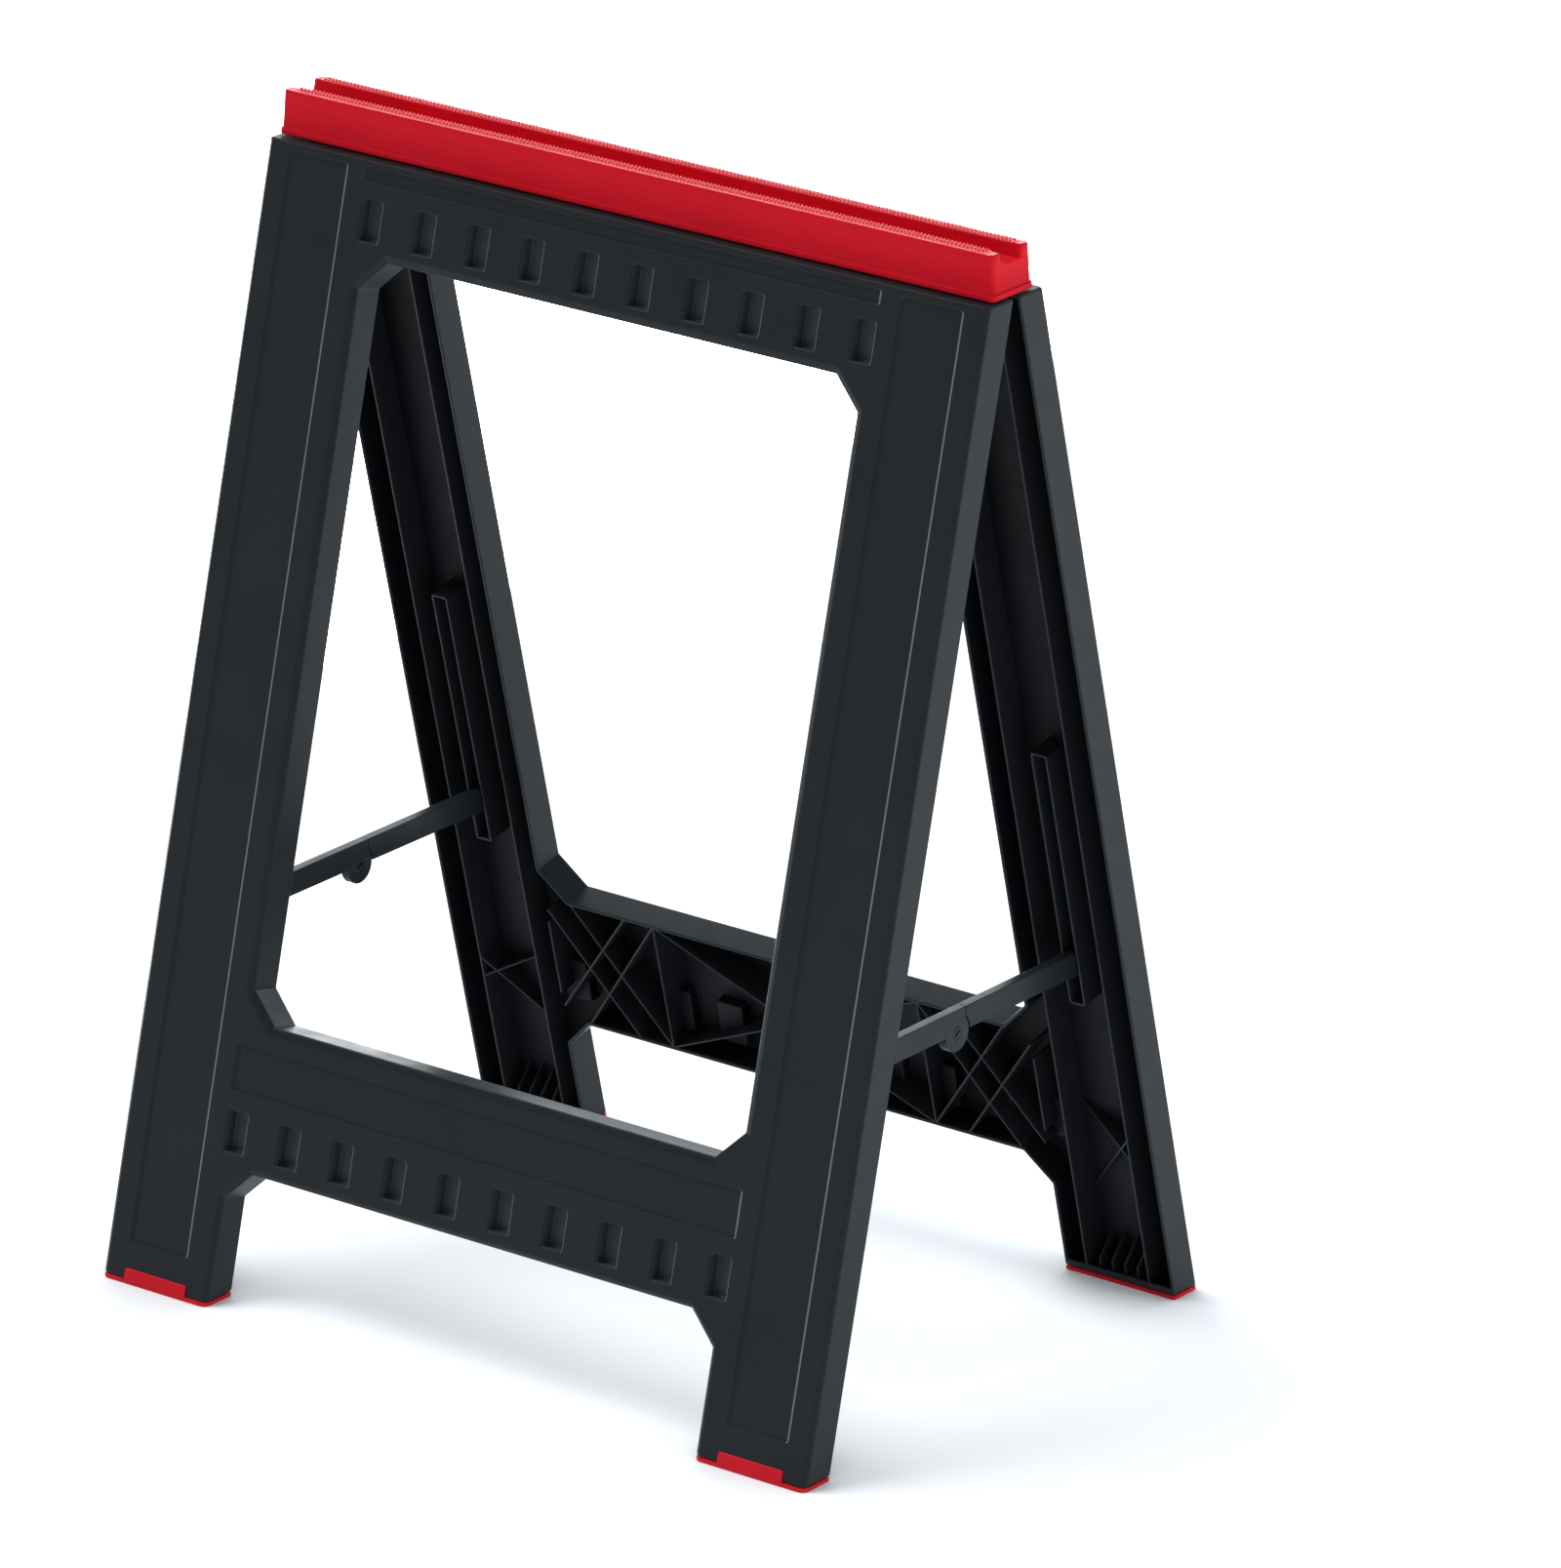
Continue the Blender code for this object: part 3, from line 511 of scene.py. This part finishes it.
def sunk(bm, outline, profile, corner, kind=OUTER):
    """A recess in the front face. Its first loop is the hole it makes in the face.

    The wall on its right, with most of both corners beside it, takes the bright copy: a painted
    highlight.
    """
    loops = []
    for side, end, below in profile:
        points = fillet(offset_polygon(outline, (end, side, end, side)), max(corner - end, 0.4))
        loops.append(ring(bm, points, FACE - below))
    stack(bm, loops[:4])
    # Below the rim a recess takes the given kind; the pockets' paler copy is painted light.
    stack(bm, loops[3:], kind)
    wall = set(loops[1] + loops[2] + loops[3])
    per_corner = CORNER_STEPS + 1
    right = slice(per_corner + 2, 2 * per_corner + 3)
    # The right-hand wall is painted bright as a highlight.
    for vert in loops[2][right] + loops[3][right]:
        for face in vert.link_faces:
            if wall.issuperset(face.verts):
                face.material_index = EDGE_HIGHLIGHT
    fill(bm, [loops[-1]], kind=kind)
    return loops[0]


def bulge(bm, outline):
    """The back of a pocket, standing on the skin."""
    loops = []
    for inset, depth in BULGE:
        points = fillet(offset_polygon(outline, [inset - POCKET_WALL] * 4), BULGE_CORNER)
        loops.append(ring(bm, points, depth))
    # The back of a pocket takes the darker copy: painted shade.
    stack(bm, loops, INNER_SHADE)
    fill(bm, [loops[-1]], kind=INNER_SHADE)
    return loops[0]


def pocket_centres():
    """Centres of both rows of pockets, as (x, s)."""
    for s in POCKET_ROWS:
        for i in range(POCKETS):
            yield -POCKET_SPAN / 2 + i * POCKET_SPAN / (POCKETS - 1), s


def pocket_outlines():
    half_x, half_z = POCKET_SIZE[0] / 2, POCKET_SIZE[1] / 2
    for x, s in pocket_centres():
        yield rectangle((x - half_x, x + half_x), (at(s) - half_z, at(s) + half_z))


def face_recesses(bm):
    """Pockets, the shallow bands of both crossbars and the long shallow panels of both legs."""
    # The pockets' walls and floors take the paler copy: painted light.
    holes = [sunk(bm, outline, DEEP, POCKET_CORNER, POCKET_LIT) for outline in pocket_outlines()]
    for top, low in (TOP_BAND, LOW_BAND):
        band = rectangle((-BAND_HALF, BAND_HALF), (at(low), at(top)))
        holes.append(sunk(bm, band, SHALLOW, BAND_CORNER))
    for side in (-1, 1):
        x = sorted((side * PANEL_X[0], side * PANEL_X[1]))
        panel = rectangle(x, (at(PANEL_S[1]), at(PANEL_S[0])))
        holes.append(sunk(bm, panel, SHALLOW, PANEL_CORNER))
    return holes


def shell_mesh():
    """One frame's moulding without its ribs: skin, walls, rims and front face."""
    bm = bmesh.new()
    outer = [wall_ring(bm, frame_outline(), row, False) for row in WALL_PROFILE]
    inner = [wall_ring(bm, main_opening(), row, True) for row in WALL_PROFILE]
    for rings in (outer, inner):
        # The walls' inner faces take the darker copy: painted shade.
        stack(bm, rings[:4], INNER_SHADE)
        stack(bm, rings[3:])
    fill(bm, [outer[-1], inner[-1], *face_recesses(bm)])
    backs = [bulge(bm, outline) for outline in pocket_outlines()]
    # The skin's back takes the darker copy: painted shade.
    fill(bm, [outer[0], inner[0], *backs], kind=INNER_SHADE)
    return bm


def rib_profile(base, top):
    """Section of a rib with a rounded edge: (across, depth from the rim)."""
    half = RIB / 2
    right = [(half - 0.55, top), (half - 0.2, top + 0.12), (half, top + 0.5), (half + 0.25, base)]
    return [(-across, depth) for across, depth in reversed(right)] + right


def shares_over(ends, centre, half):
    """The shares of a line's length between which it lies over a rectangle, or None."""
    low, high = 0.0, 1.0
    for start, end, middle, reach in zip(ends[0], ends[1], centre, half):
        if abs(end - start) < 1e-9:
            if abs(start - middle) >= reach:
                return None
            continue
        run = end - start
        cuts = sorted(((middle - reach - start) / run, (middle + reach - start) / run))
        low, high = max(low, cuts[0]), min(high, cuts[1])
    return (low, high) if high - low > 1e-6 else None


def rib(bm, ends, tops=(RIB_SETBACK, RIB_SETBACK)):
    """A rib between two points (x, s), standing on the skin and on any pocket it crosses."""
    (x0, s0), (x1, s1) = ends
    start = Vector((x0 * MM, RIM_Y * MM, at(s0) * MM))
    end = Vector((x1 * MM, RIM_Y * MM, at(s1) * MM))
    along = (end - start).normalized()
    out = Vector((0.0, -1.0, 0.0))
    across = along.cross(out)
    half = tuple(size / 2 + POCKET_WALL - 0.3 for size in POCKET_SIZE)
    skin, pocket = SKIN + SUNK_IN, POCKET_BACK + SUNK_IN
    steps = [(0.0, skin), (1.0, skin)]
    for centre in pocket_centres():
        over = shares_over(ends, centre, half)
        if over:
            low, high = over
            steps = [step for step in steps if not low - 1e-6 < step[0] < high + 1e-6]
            steps += [(low - 1e-5, skin), (low, pocket)] if low > 0.0 else [(0.0, pocket)]
            steps += [(high, pocket), (high + 1e-5, skin)] if high < 1.0 else [(1.0, pocket)]
    rows = []
    for share, base in sorted(steps):
        point = start.lerp(end, share)
        top = tops[0] + (tops[1] - tops[0]) * share
        rows.append([bm.verts.new(point + across * (u * MM) + out * (v * MM))
                     for u, v in rib_profile(base, top)])
    for low, high in zip(rows, rows[1:]):
        for k in range(len(low)):
            j = (k + 1) % len(low)
            # A rib's rounded top is plain black; its sides, foot and ends take the darker copy:
            # painted shade.
            kind = OUTER if 1 <= k <= 5 else INNER_SHADE
            bm.faces.new((low[k], low[j], high[j], high[k])).material_index = kind
    for row in (rows[0], list(reversed(rows[-1]))):
        bm.faces.new(row).material_index = INNER_SHADE


def both_sides(ends):
    """A line between two points (x, s), and its mirror image."""
    (x0, s0), (x1, s1) = ends
    return [((x0, s0), (x1, s1)), ((-x0, s0), (-x1, s1))]


def crossbar_ribs(top, bottom):
    """Lattice at both ends of a crossbar, uprights, and a large cross in the middle."""
    x, low, high = LATTICE_X, bottom - 1.5, top + 1.5
    ends = [((x, high), (x, low)), ((175.0, high), (x, low)), ((x, high), (175.0, low)),
            ((195.0, high + 9.0), (133.0, low)), ((130.0, high), (195.0, low - 9.0)),
            ((196.0, high + 19.0), (196.0, low - 19.0))]
    lines = [side for end in ends for side in both_sides(end)]
    return lines + [((-x, high), (x, low)), ((-x, low), (x, high))]


def leg_ribs():
    """Two ribs along each leg."""
    near, far = LEG_RIBS
    floor = RIM_LENGTH - FLOOR_WALL + 1.0
    ends = [((near, RIB_START), (near, floor)), ((far, RIB_START), (far, floor))]
    return [side for end in ends for side in both_sides(end)]


def leg_braces():
    """Slanting webs that fall from the rim at the outer rib to the skin at the inner one."""
    near, far = LEG_RIBS
    ends = [((far, 637.5), (near, 616.0)), ((far, 622.7), (near, 682.0))]
    return [side for end in ends for side in both_sides(end)]


def box_ribs():
    """The stowage box round each folded brace."""
    top, bottom = BOX_S
    low, high = BOX_X - BOX_HALF + RIB / 2, BOX_X + BOX_HALF - RIB / 2
    ends = [((low, top), (low, bottom)), ((high, top), (high, bottom)),
            ((low, top), (high, top)), ((low, bottom), (high, bottom))]
    return [side for end in ends for side in both_sides(end)]


def gusset(bm, x):
    """A thin corner plate from the foot's bottom wall, slanting back up to the skin."""
    floor = at(RIM_LENGTH - FLOOR_WALL + 1.0)
    back = SKIN + SUNK_IN
    outline = [(GUSSET_EDGE, floor), (GUSSET_EDGE, floor + GUSSET_LIP),
               (back, floor + GUSSET_RISE), (back, floor - 6.0)]
    rows = [[bm.verts.new(((x + dx) * MM, (RIM_Y - d) * MM, z * MM)) for d, z in outline]
            for dx in (-RIB / 2, RIB / 2)]
    # Every face of a gusset takes the darker copy: painted shade.
    bridge(bm, rows[0], rows[1], INNER_SHADE)
    bm.faces.new(rows[0]).material_index = INNER_SHADE
    bm.faces.new(list(reversed(rows[1]))).material_index = INNER_SHADE


def rib_mesh():
    """One frame's ribs, stowage boxes, slanting webs and gussets."""
    bm = bmesh.new()
    lines = crossbar_ribs(RIB_START, MAIN_TOP) + crossbar_ribs(MAIN_BOTTOM, LOWER_TOP)
    for ends in lines + leg_ribs() + box_ribs():
        rib(bm, ends)
    for ends in leg_braces():
        rib(bm, ends, (RIB_SETBACK, WEB_LOW))
    pitch = (LEG_RIBS[1] - LEG_RIBS[0]) / (GUSSETS + 1)
    for side in (-1, 1):
        for i in range(GUSSETS):
            gusset(bm, side * (LEG_RIBS[0] + (i + 1) * pitch))
    return bm


def frame_place(front):
    """From a frame's own coordinates to its open place."""
    lean = Matrix.Translation((0.0, -HINGE_HALF_GAP * MM, HINGE.z)) @ Matrix.Rotation(-LEAN, 4, "X")
    return lean if front else Matrix.Rotation(math.pi, 4, "Z") @ lean


def leg_frame(prefix, front, blacks):
    body = prefix + "_leg_frame"
    place = frame_place(front)
    make_piece(prefix + "_frame_moulding", shell_mesh(), blacks, body,
               [prefix + "_frame"], place)
    make_piece(prefix + "_frame_ribs", rib_mesh(), blacks[:2], body, (), place)


def brace_pin(prefix, hand, mat):
    """The pin in a brace's end, held between the walls of the stowage box."""
    low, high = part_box(prefix + "_brace_pin_" + hand)
    middle = (low + high) / 2 / MM
    radius = (high.z - low.z) / 2 / MM
    half = BOX_HALF - RIB - 0.3
    bm = bmesh.new()
    outline = arc((middle.y, middle.z), min(radius, 2.6), 0.0, 2 * math.pi * 23 / 24, 23)
    slab(bm, outline, middle.x - half, middle.x + half, 0.5)
    make_piece(prefix + "_brace_pivot_" + hand, bm, mat, prefix + "_leg_frame",
               [prefix + "_brace_pin_" + hand])


# ---------------------------------------------------------------- rail
def rail_outline(height, inset):
    """Plan of the rail's body at a height above its bottom."""
    x = RAIL_HALF - RAIL_DRAFT * height - inset
    y = RAIL_SIDE - SIDE_DRAFT * height - inset
    return x, y


def plan_ring(bm, x, y, corner, z):
    return level_ring(bm, fillet(rectangle((-x, x), (-y, y)), corner, 6), z)


def ridge_ring(bm, side, height, inset, z):
    """Plan of one ridge beside the groove, rounded at its groove-side ends."""
    x, y = rail_outline(height, inset)
    inner = GROOVE_HALF - (RAIL_RISE - height) * GROOVE_DRAFT + inset
    outer = fillet(rectangle((-x, x), (-y, y)), RAIL_CORNER, 6)
    groove = fillet(rectangle((-x, x), (inner, y)), GROOVE_CORNER, 6)
    points = groove[:14] + outer[14:]
    return level_ring(bm, [(side * px, side * py) for px, py in points], z)


def rail_mesh():
    """The rail's body with its lip, and a ridge each side of the groove."""
    bm = bmesh.new()
    base = RAIL_LOW.z
    rows = ((0.0, -LIP + 0.5), (0.25, -LIP + 0.1), (0.6, -LIP), (LIP_RISE - 0.5, -LIP),
            (LIP_RISE - 0.15, -LIP + 0.12), (LIP_RISE, -LIP + 0.45), (LIP_RISE + 0.1, -0.12),
            (LIP_RISE + 0.5, 0.0), (RAIL_RISE - GROOVE_DEPTH, 0.0))
    rings = [plan_ring(bm, *rail_outline(h, i), RAIL_CORNER, base + h * MM) for h, i in rows]
    stack(bm, rings)
    fill(bm, [rings[0]], (0, 1))
    fill(bm, [rings[-1]], (0, 1))
    for side in (-1, 1):
        floor = RAIL_RISE - GROOVE_DEPTH - 0.3
        rows = ((floor, 0.0), (RAIL_RISE - 1.0, 0.0), (RAIL_RISE - 0.3, 0.3), (RAIL_RISE, 1.0))
        loops = [ridge_ring(bm, side, h, i, base + h * MM) for h, i in rows]
        stack(bm, loops)
        fill(bm, [loops[0]], (0, 1))
        # The ridge's top takes the paler grip pink: a painted reflection.
        fill(bm, [loops[-1]], (0, 1), 1)
    return bm


def dot(bm, x, y, z):
    """One low rounded stud of the grip."""
    rings = []
    for share, rise in STUD_PROFILE:
        radius = GRIP_DOT * share * MM
        angles = [2 * math.pi * k / STUD_SIDES for k in range(STUD_SIDES)]
        rings.append([bm.verts.new((x + radius * math.cos(a), y + radius * math.sin(a),
                                    z + GRIP_RISE * rise * MM)) for a in angles])
    stack(bm, rings)
    bm.faces.new(rings[-1])
    bm.faces.new(list(reversed(rings[0])))


def grip_mesh(side):
    """A raised strip along one ridge with staggered rows of studs."""
    bm = bmesh.new()
    top = RAIL_LOW.z + RAIL_RISE * MM
    x_end = RAIL_HALF - RAIL_DRAFT * RAIL_RISE - GRIP_BORDER
    rows = GRIP_ROWS[side]
    low, high = min(rows) - GRIP_MARGIN, max(rows) + GRIP_MARGIN
    rings = []
    for inset, rise in ((0.0, -0.6), (0.0, 0.12), (0.22, 0.3)):
        outline = rectangle((-x_end + inset, x_end - inset), (low + inset, high - inset))
        rings.append(level_ring(bm, fillet(outline, GRIP_CORNER, 4), top + rise * MM))
    stack(bm, rings)
    fill(bm, [rings[0]], (0, 1))
    fill(bm, [rings[-1]], (0, 1))
    count = int(2 * (x_end - 1.5) / GRIP_PITCH)
    for row, y in enumerate(rows):
        shift = 0.5 * (row % 2)
        for k in range(count - row % 2):
            x = (-count / 2 + 0.5 + k + shift) * GRIP_PITCH * MM
            dot(bm, x, y * MM, top + STUD_FOOT * MM)
    return bm


# ---------------------------------------------------------------- feet
def foot_mesh(side):
    """A cap under one front foot: thin sole and a tab up the leg's front face."""
    bm = bmesh.new()
    x = (OPENING_HALF, HALF_WIDTH) if side > 0 else (-HALF_WIDTH, -OPENING_HALF)
    rim = TOP_HALF_GAP + RIM_LENGTH * math.sin(LEAN)
    front = rim + FACE / math.cos(LEAN)
    rings = []
    for inset, z in SOLE_PROFILE:
        outline = rectangle((x[0] + inset, x[1] - inset),
                            (-front - TAB_THICK + inset, -rim - inset))
        rings.append(level_ring(bm, fillet(outline, SOLE_CORNERS, 5), z * MM))
    stack(bm, rings)
    fill(bm, [rings[0]], (0, 1))
    fill(bm, [rings[-1]], (0, 1))
    tab(bm, (x[0] + x[1]) / 2, front)
    return bm


def tab(bm, middle, front):
    """The tab continues the sole's front edge up the leaning face."""
    lean = math.tan(LEAN)
    rings = []
    profile = ((0.0, -0.6), (0.0, TAB_THICK - 0.5), (0.15, TAB_THICK - 0.15), (0.5, TAB_THICK))
    for inset, out in profile:
        outline = rectangle((middle - TAB_HALF + inset, middle + TAB_HALF - inset),
                            (TAB_BASE, TAB_RISE - inset))
        rings.append([bm.verts.new((x * MM, (-front - out + (z - SOLE_TOP) * lean) * MM, z * MM))
                      for x, z in fillet(outline, TAB_CORNERS, 4)])
    stack(bm, rings)
    fill(bm, [rings[0]])
    fill(bm, [rings[-1]])


# ---------------------------------------------------------------- braces
def arc(centre, radius, start, end, steps):
    """Points of an arc about a centre (y, z)."""
    cy, cz = centre
    return [(cy + radius * math.cos(start + (end - start) * k / steps),
             cz + radius * math.sin(start + (end - start) * k / steps)) for k in range(steps + 1)]


def soft_rows(low, high, soft):
    """Rows (inset, x) through a plate's thickness, with softened edges."""
    return ((soft, low), (soft * 0.3, low + soft * 0.3), (0.0, low + soft),
            (0.0, high - soft), (soft * 0.3, high - soft * 0.3), (soft, high))


def slab(bm, outline, x_low, x_high, soft=0.45):
    """A flat plate with softened edges: outline in (y, z), thickness along X, in millimetres."""
    rings = [upright_ring(bm, offset_polygon(outline, [inset] * len(outline)), x)
             for inset, x in soft_rows(x_low, x_high, soft)]
    stack(bm, rings)
    fill(bm, [rings[0]], (1, 2))
    fill(bm, [rings[-1]], (1, 2))


def far_end():
    """The rounded end of a bar, round its pin."""
    half = BRACE_HEIGHT / 2
    return arc((BRACE_SPAN, half), half, -math.pi / 2, math.pi / 2, 12)


def circle(radius, sides=48):
    return arc((0.0, 0.0), radius, 0.0, 2 * math.pi * (sides - 1) / sides, sides - 1)


def fork_plate(bm, low, high, soft=0.22):
    """A round plate with a hole for the pin."""
    rings = [upright_ring(bm, circle(DISC_RADIUS - inset), x)
             for inset, x in soft_rows(low, high, soft)]
    hole = [upright_ring(bm, circle(PIN_HEAD + PIN_GAP, PIN_SIDES), x) for x in (low, high)]
    stack(bm, rings)
    stack(bm, hole)
    fill(bm, [rings[0], hole[0]], (1, 2))
    fill(bm, [rings[-1], hole[1]], (1, 2))


def fork_bar():
    """Bar along +Y from the knee pivot, with two round plates that hold the other bar's tongue."""
    bm = bmesh.new()
    h, half = BRACE_HEIGHT, BRACE_HALF
    step = [(9.8, 0.0), (7.1, 4.6), (5.2, 7.7), (-BUTT + SEAM, 8.3), (-BUTT + SEAM, h)]
    slab(bm, far_end() + list(reversed(step)), -half, half)
    for side in (-1, 1):
        faces = sorted((side * (TONGUE_HALF + PLATE_GAP), side * (half - DISC_SINK)))
        fork_plate(bm, *faces)
    return bm


def tongue_bar():
    """Bar along +Y with a hollow end that clears the fork's plates, and a tongue between them."""
    bm = bmesh.new()
    clear = DISC_RADIUS + 0.9
    hollow = arc((0.0, 0.0), clear, math.acos((BUTT + SEAM) / clear), 0.02, 12)
    slab(bm, hollow + far_end() + [(BUTT + SEAM, BRACE_HEIGHT)], -BRACE_HALF, BRACE_HALF)
    slab(bm, circle(DISC_RADIUS - 0.25), -TONGUE_HALF, TONGUE_HALF, 0.22)
    slab(bm, [(2.0, 2.0), (16.0, 2.0), (16.0, 12.0), (2.0, 12.0)], -TONGUE_HALF, TONGUE_HALF, 0.1)
    return bm


def knee_pin(side, hand, mat):
    """The knee's pin: a plain round head with one slot on both faces of the fork."""
    bm = bmesh.new()
    face = BRACE_HALF - DISC_SINK
    length, width = PIN_SLOT
    for end in (-1, 1):
        rings = [upright_ring(bm, circle(PIN_HEAD - inset, PIN_SIDES), end * (face + rise))
                 for inset, rise in ((0.0, -1.4), (0.0, -0.1), (0.3, 0.12))]
        slot = fillet(rectangle((-length, length), (-width, width)), width * 0.9, 4)
        cut = [upright_ring(bm, slot, end * (face + rise)) for rise in (0.12, -0.9)]
        stack(bm, rings)
        fill(bm, [rings[0]], (1, 2))
        fill(bm, [rings[-1], cut[0]], (1, 2))
        # The slot takes the darker copy: painted shade.
        stack(bm, cut, INNER_SHADE)
        fill(bm, [cut[-1]], (1, 2), INNER_SHADE)
    place = Matrix.Translation((side * KNEE.x, 0.0, KNEE.z)) @ Matrix.Rotation(PIN_TURN, 4, "X")
    make_piece("knee_pin_" + hand, bm, mat, "front_brace_bar_" + hand,
               ["knee_rivet_" + hand + "_a", "knee_rivet_" + hand + "_b"], place)


def braces(side, hand, blacks, steel):
    """One side's two bars, the pins in their ends and the knee's pin."""
    for front, prefix in ((True, "front"), (False, "rear")):
        bm = fork_bar() if front else tongue_bar()
        turn = Matrix.Rotation(math.pi, 4, "Z") if front else Matrix.Identity(4)
        place = Matrix.Translation((side * KNEE.x, 0.0, KNEE.z)) @ turn
        body = prefix + "_brace_bar_" + hand
        make_piece(body + "_moulding", bm, blacks[0], body,
                   [prefix + "_brace_" + hand], place)
        brace_pin(prefix, hand, steel)
    knee_pin(side, hand, blacks[:2])


# ---------------------------------------------------------------- stage
def card(name, material, half, colour, place=(0.0, 0.0, 0.0), scale=(1.0, 1.0, 1.0)):
    """A level square on the stage. Returns its material's tree and shader."""
    bm = bmesh.new()
    bmesh.ops.create_grid(bm, x_segments=1, y_segments=1, size=half)
    mesh = bpy.data.meshes.new(name)
    bm.to_mesh(mesh)
    bm.free()
    ob = link(name, mesh)
    ob.location = place
    ob.scale = scale
    mat = bpy.data.materials.new(material)
    mat.use_nodes = True
    shader = mat.node_tree.nodes["Principled BSDF"]
    shader.inputs["Base Color"].default_value = (*colour, 1.0)
    shader.inputs["Emission Color"].default_value = (0.93, 0.97, 1.0, 1.0)
    mesh.materials.append(mat)
    return mat.node_tree, shader


def floor():
    """A pale floor that glows a little, so that shadows stay light; close to the feet the glow is
    dimmed, a painted contact shadow.
    """
    tree, shader = card("floor", "pale_floor", FLOOR_HALF, (0.84, 0.86, 0.88))
    shader.inputs["Roughness"].default_value = 0.9
    shader.inputs["Specular IOR Level"].default_value = 0.0
    # Ambient occlusion dims the glow next to the feet: a painted contact shadow.
    contact_shadow_mask = node(tree, "ShaderNodeAmbientOcclusion", samples=8)
    contact_shadow_mask.inputs["Distance"].default_value = CONTACT_SHADOW_REACH
    glow = spread(tree, contact_shadow_mask.outputs["AO"], 0.0, FLOOR_GLOW, 0.45, 0.97)
    tree.links.new(glow, shader.inputs["Emission Strength"])


def reflector():
    """A bright card on the floor, behind on the left, for the moulded edges to reflect."""
    _, shader = card("reflector", "reflector_card", 1.0, (0.85, 0.87, 0.9), CARD_PLACE, CARD_HALF)
    shader.inputs["Emission Strength"].default_value = CARD_GLOW


def area_light(name, place, size, power, colour):
    """A rectangular light that faces the object."""
    data = bpy.data.lights.new(name, "AREA")
    data.shape = "RECTANGLE"
    data.size, data.size_y = size
    data.energy = power
    data.color = colour
    ob = link(name, data)
    ob.location = place
    ob.rotation_euler = (Vector(LIT_POINT) - Vector(place)).to_track_quat("-Z", "Y").to_euler()


def sun(name, towards, strength, angle):
    data = bpy.data.lights.new(name, "SUN")
    data.energy = strength
    data.angle = math.radians(angle)
    ob = link(name, data)
    ob.rotation_euler = Vector(towards).to_track_quat("-Z", "Y").to_euler()


def lights():
    """A soft sun from above and the left, a bright wall behind, a fill and a pale surround."""
    world = bpy.data.worlds.new("studio")
    bpy.context.scene.world = world
    world.use_nodes = True
    background = world.node_tree.nodes["Background"]
    background.inputs["Color"].default_value = (0.9, 0.95, 1.0, 1.0)
    background.inputs["Strength"].default_value = WORLD_LIGHT
    sun("key", KEY_TOWARDS, KEY_LIGHT, KEY_ANGLE)
    area_light("back_wall", BACK_PLACE, BACK_SIZE, BACK_LIGHT, COOL)
    area_light("right_fill", RIGHT_PLACE, RIGHT_SIZE, RIGHT_LIGHT, WHITE)


def camera():
    """Looks down on the front from the right, through a long lens."""
    data = bpy.data.cameras.new("camera")
    data.sensor_fit = "HORIZONTAL"
    data.sensor_width = 36.0
    data.lens = LENS
    data.clip_end = 100.0
    ob = link("camera", data)
    ob.matrix_world = (Matrix.Translation(CAMERA_PLACE) @ Matrix.Rotation(CAMERA_YAW, 4, "Z")
                       @ Matrix.Rotation(math.pi / 2 + CAMERA_PITCH, 4, "X")
                       @ Matrix.Rotation(CAMERA_ROLL, 4, "Z"))
    bpy.context.scene.camera = ob


def build():
    """Every piece of the object, on its body."""
    blacks = black_plastics()
    red, grip, foot = red_plastic(), grip_rubber(), foot_rubber()
    steel = brushed_steel("steel")

    leg_frame("front", True, blacks)
    leg_frame("rear", False, blacks)
    # The grip's pink also paints a reflection on the tops of the rail's ridges.
    make_piece("rail_moulding", rail_mesh(), [red, grip], "rail", ["top_rail"])
    for side, prefix in ((-1, "front"), (1, "rear")):
        make_piece(prefix + "_grip", grip_mesh(side), grip, "rail",
                   [prefix + "_grip_strip"])
    for side, hand in ((-1, "left"), (1, "right")):
        make_piece("front_foot_" + hand, foot_mesh(side), foot, "front_leg_frame",
                   ["front_foot_cap_" + hand])
        make_piece("rear_foot_" + hand, foot_mesh(-side), foot, "rear_leg_frame",
                   ["rear_foot_cap_" + hand], Matrix.Rotation(math.pi, 4, "Z"))
        braces(side, hand, blacks, steel)
    for name, ob in frame["nodes"].items():
        if "hinge_pin" in name:
            ob.data.materials[0] = steel


build()
floor()
reflector()
lights()
camera()
bpy.context.scene.view_settings.view_transform = "Standard"
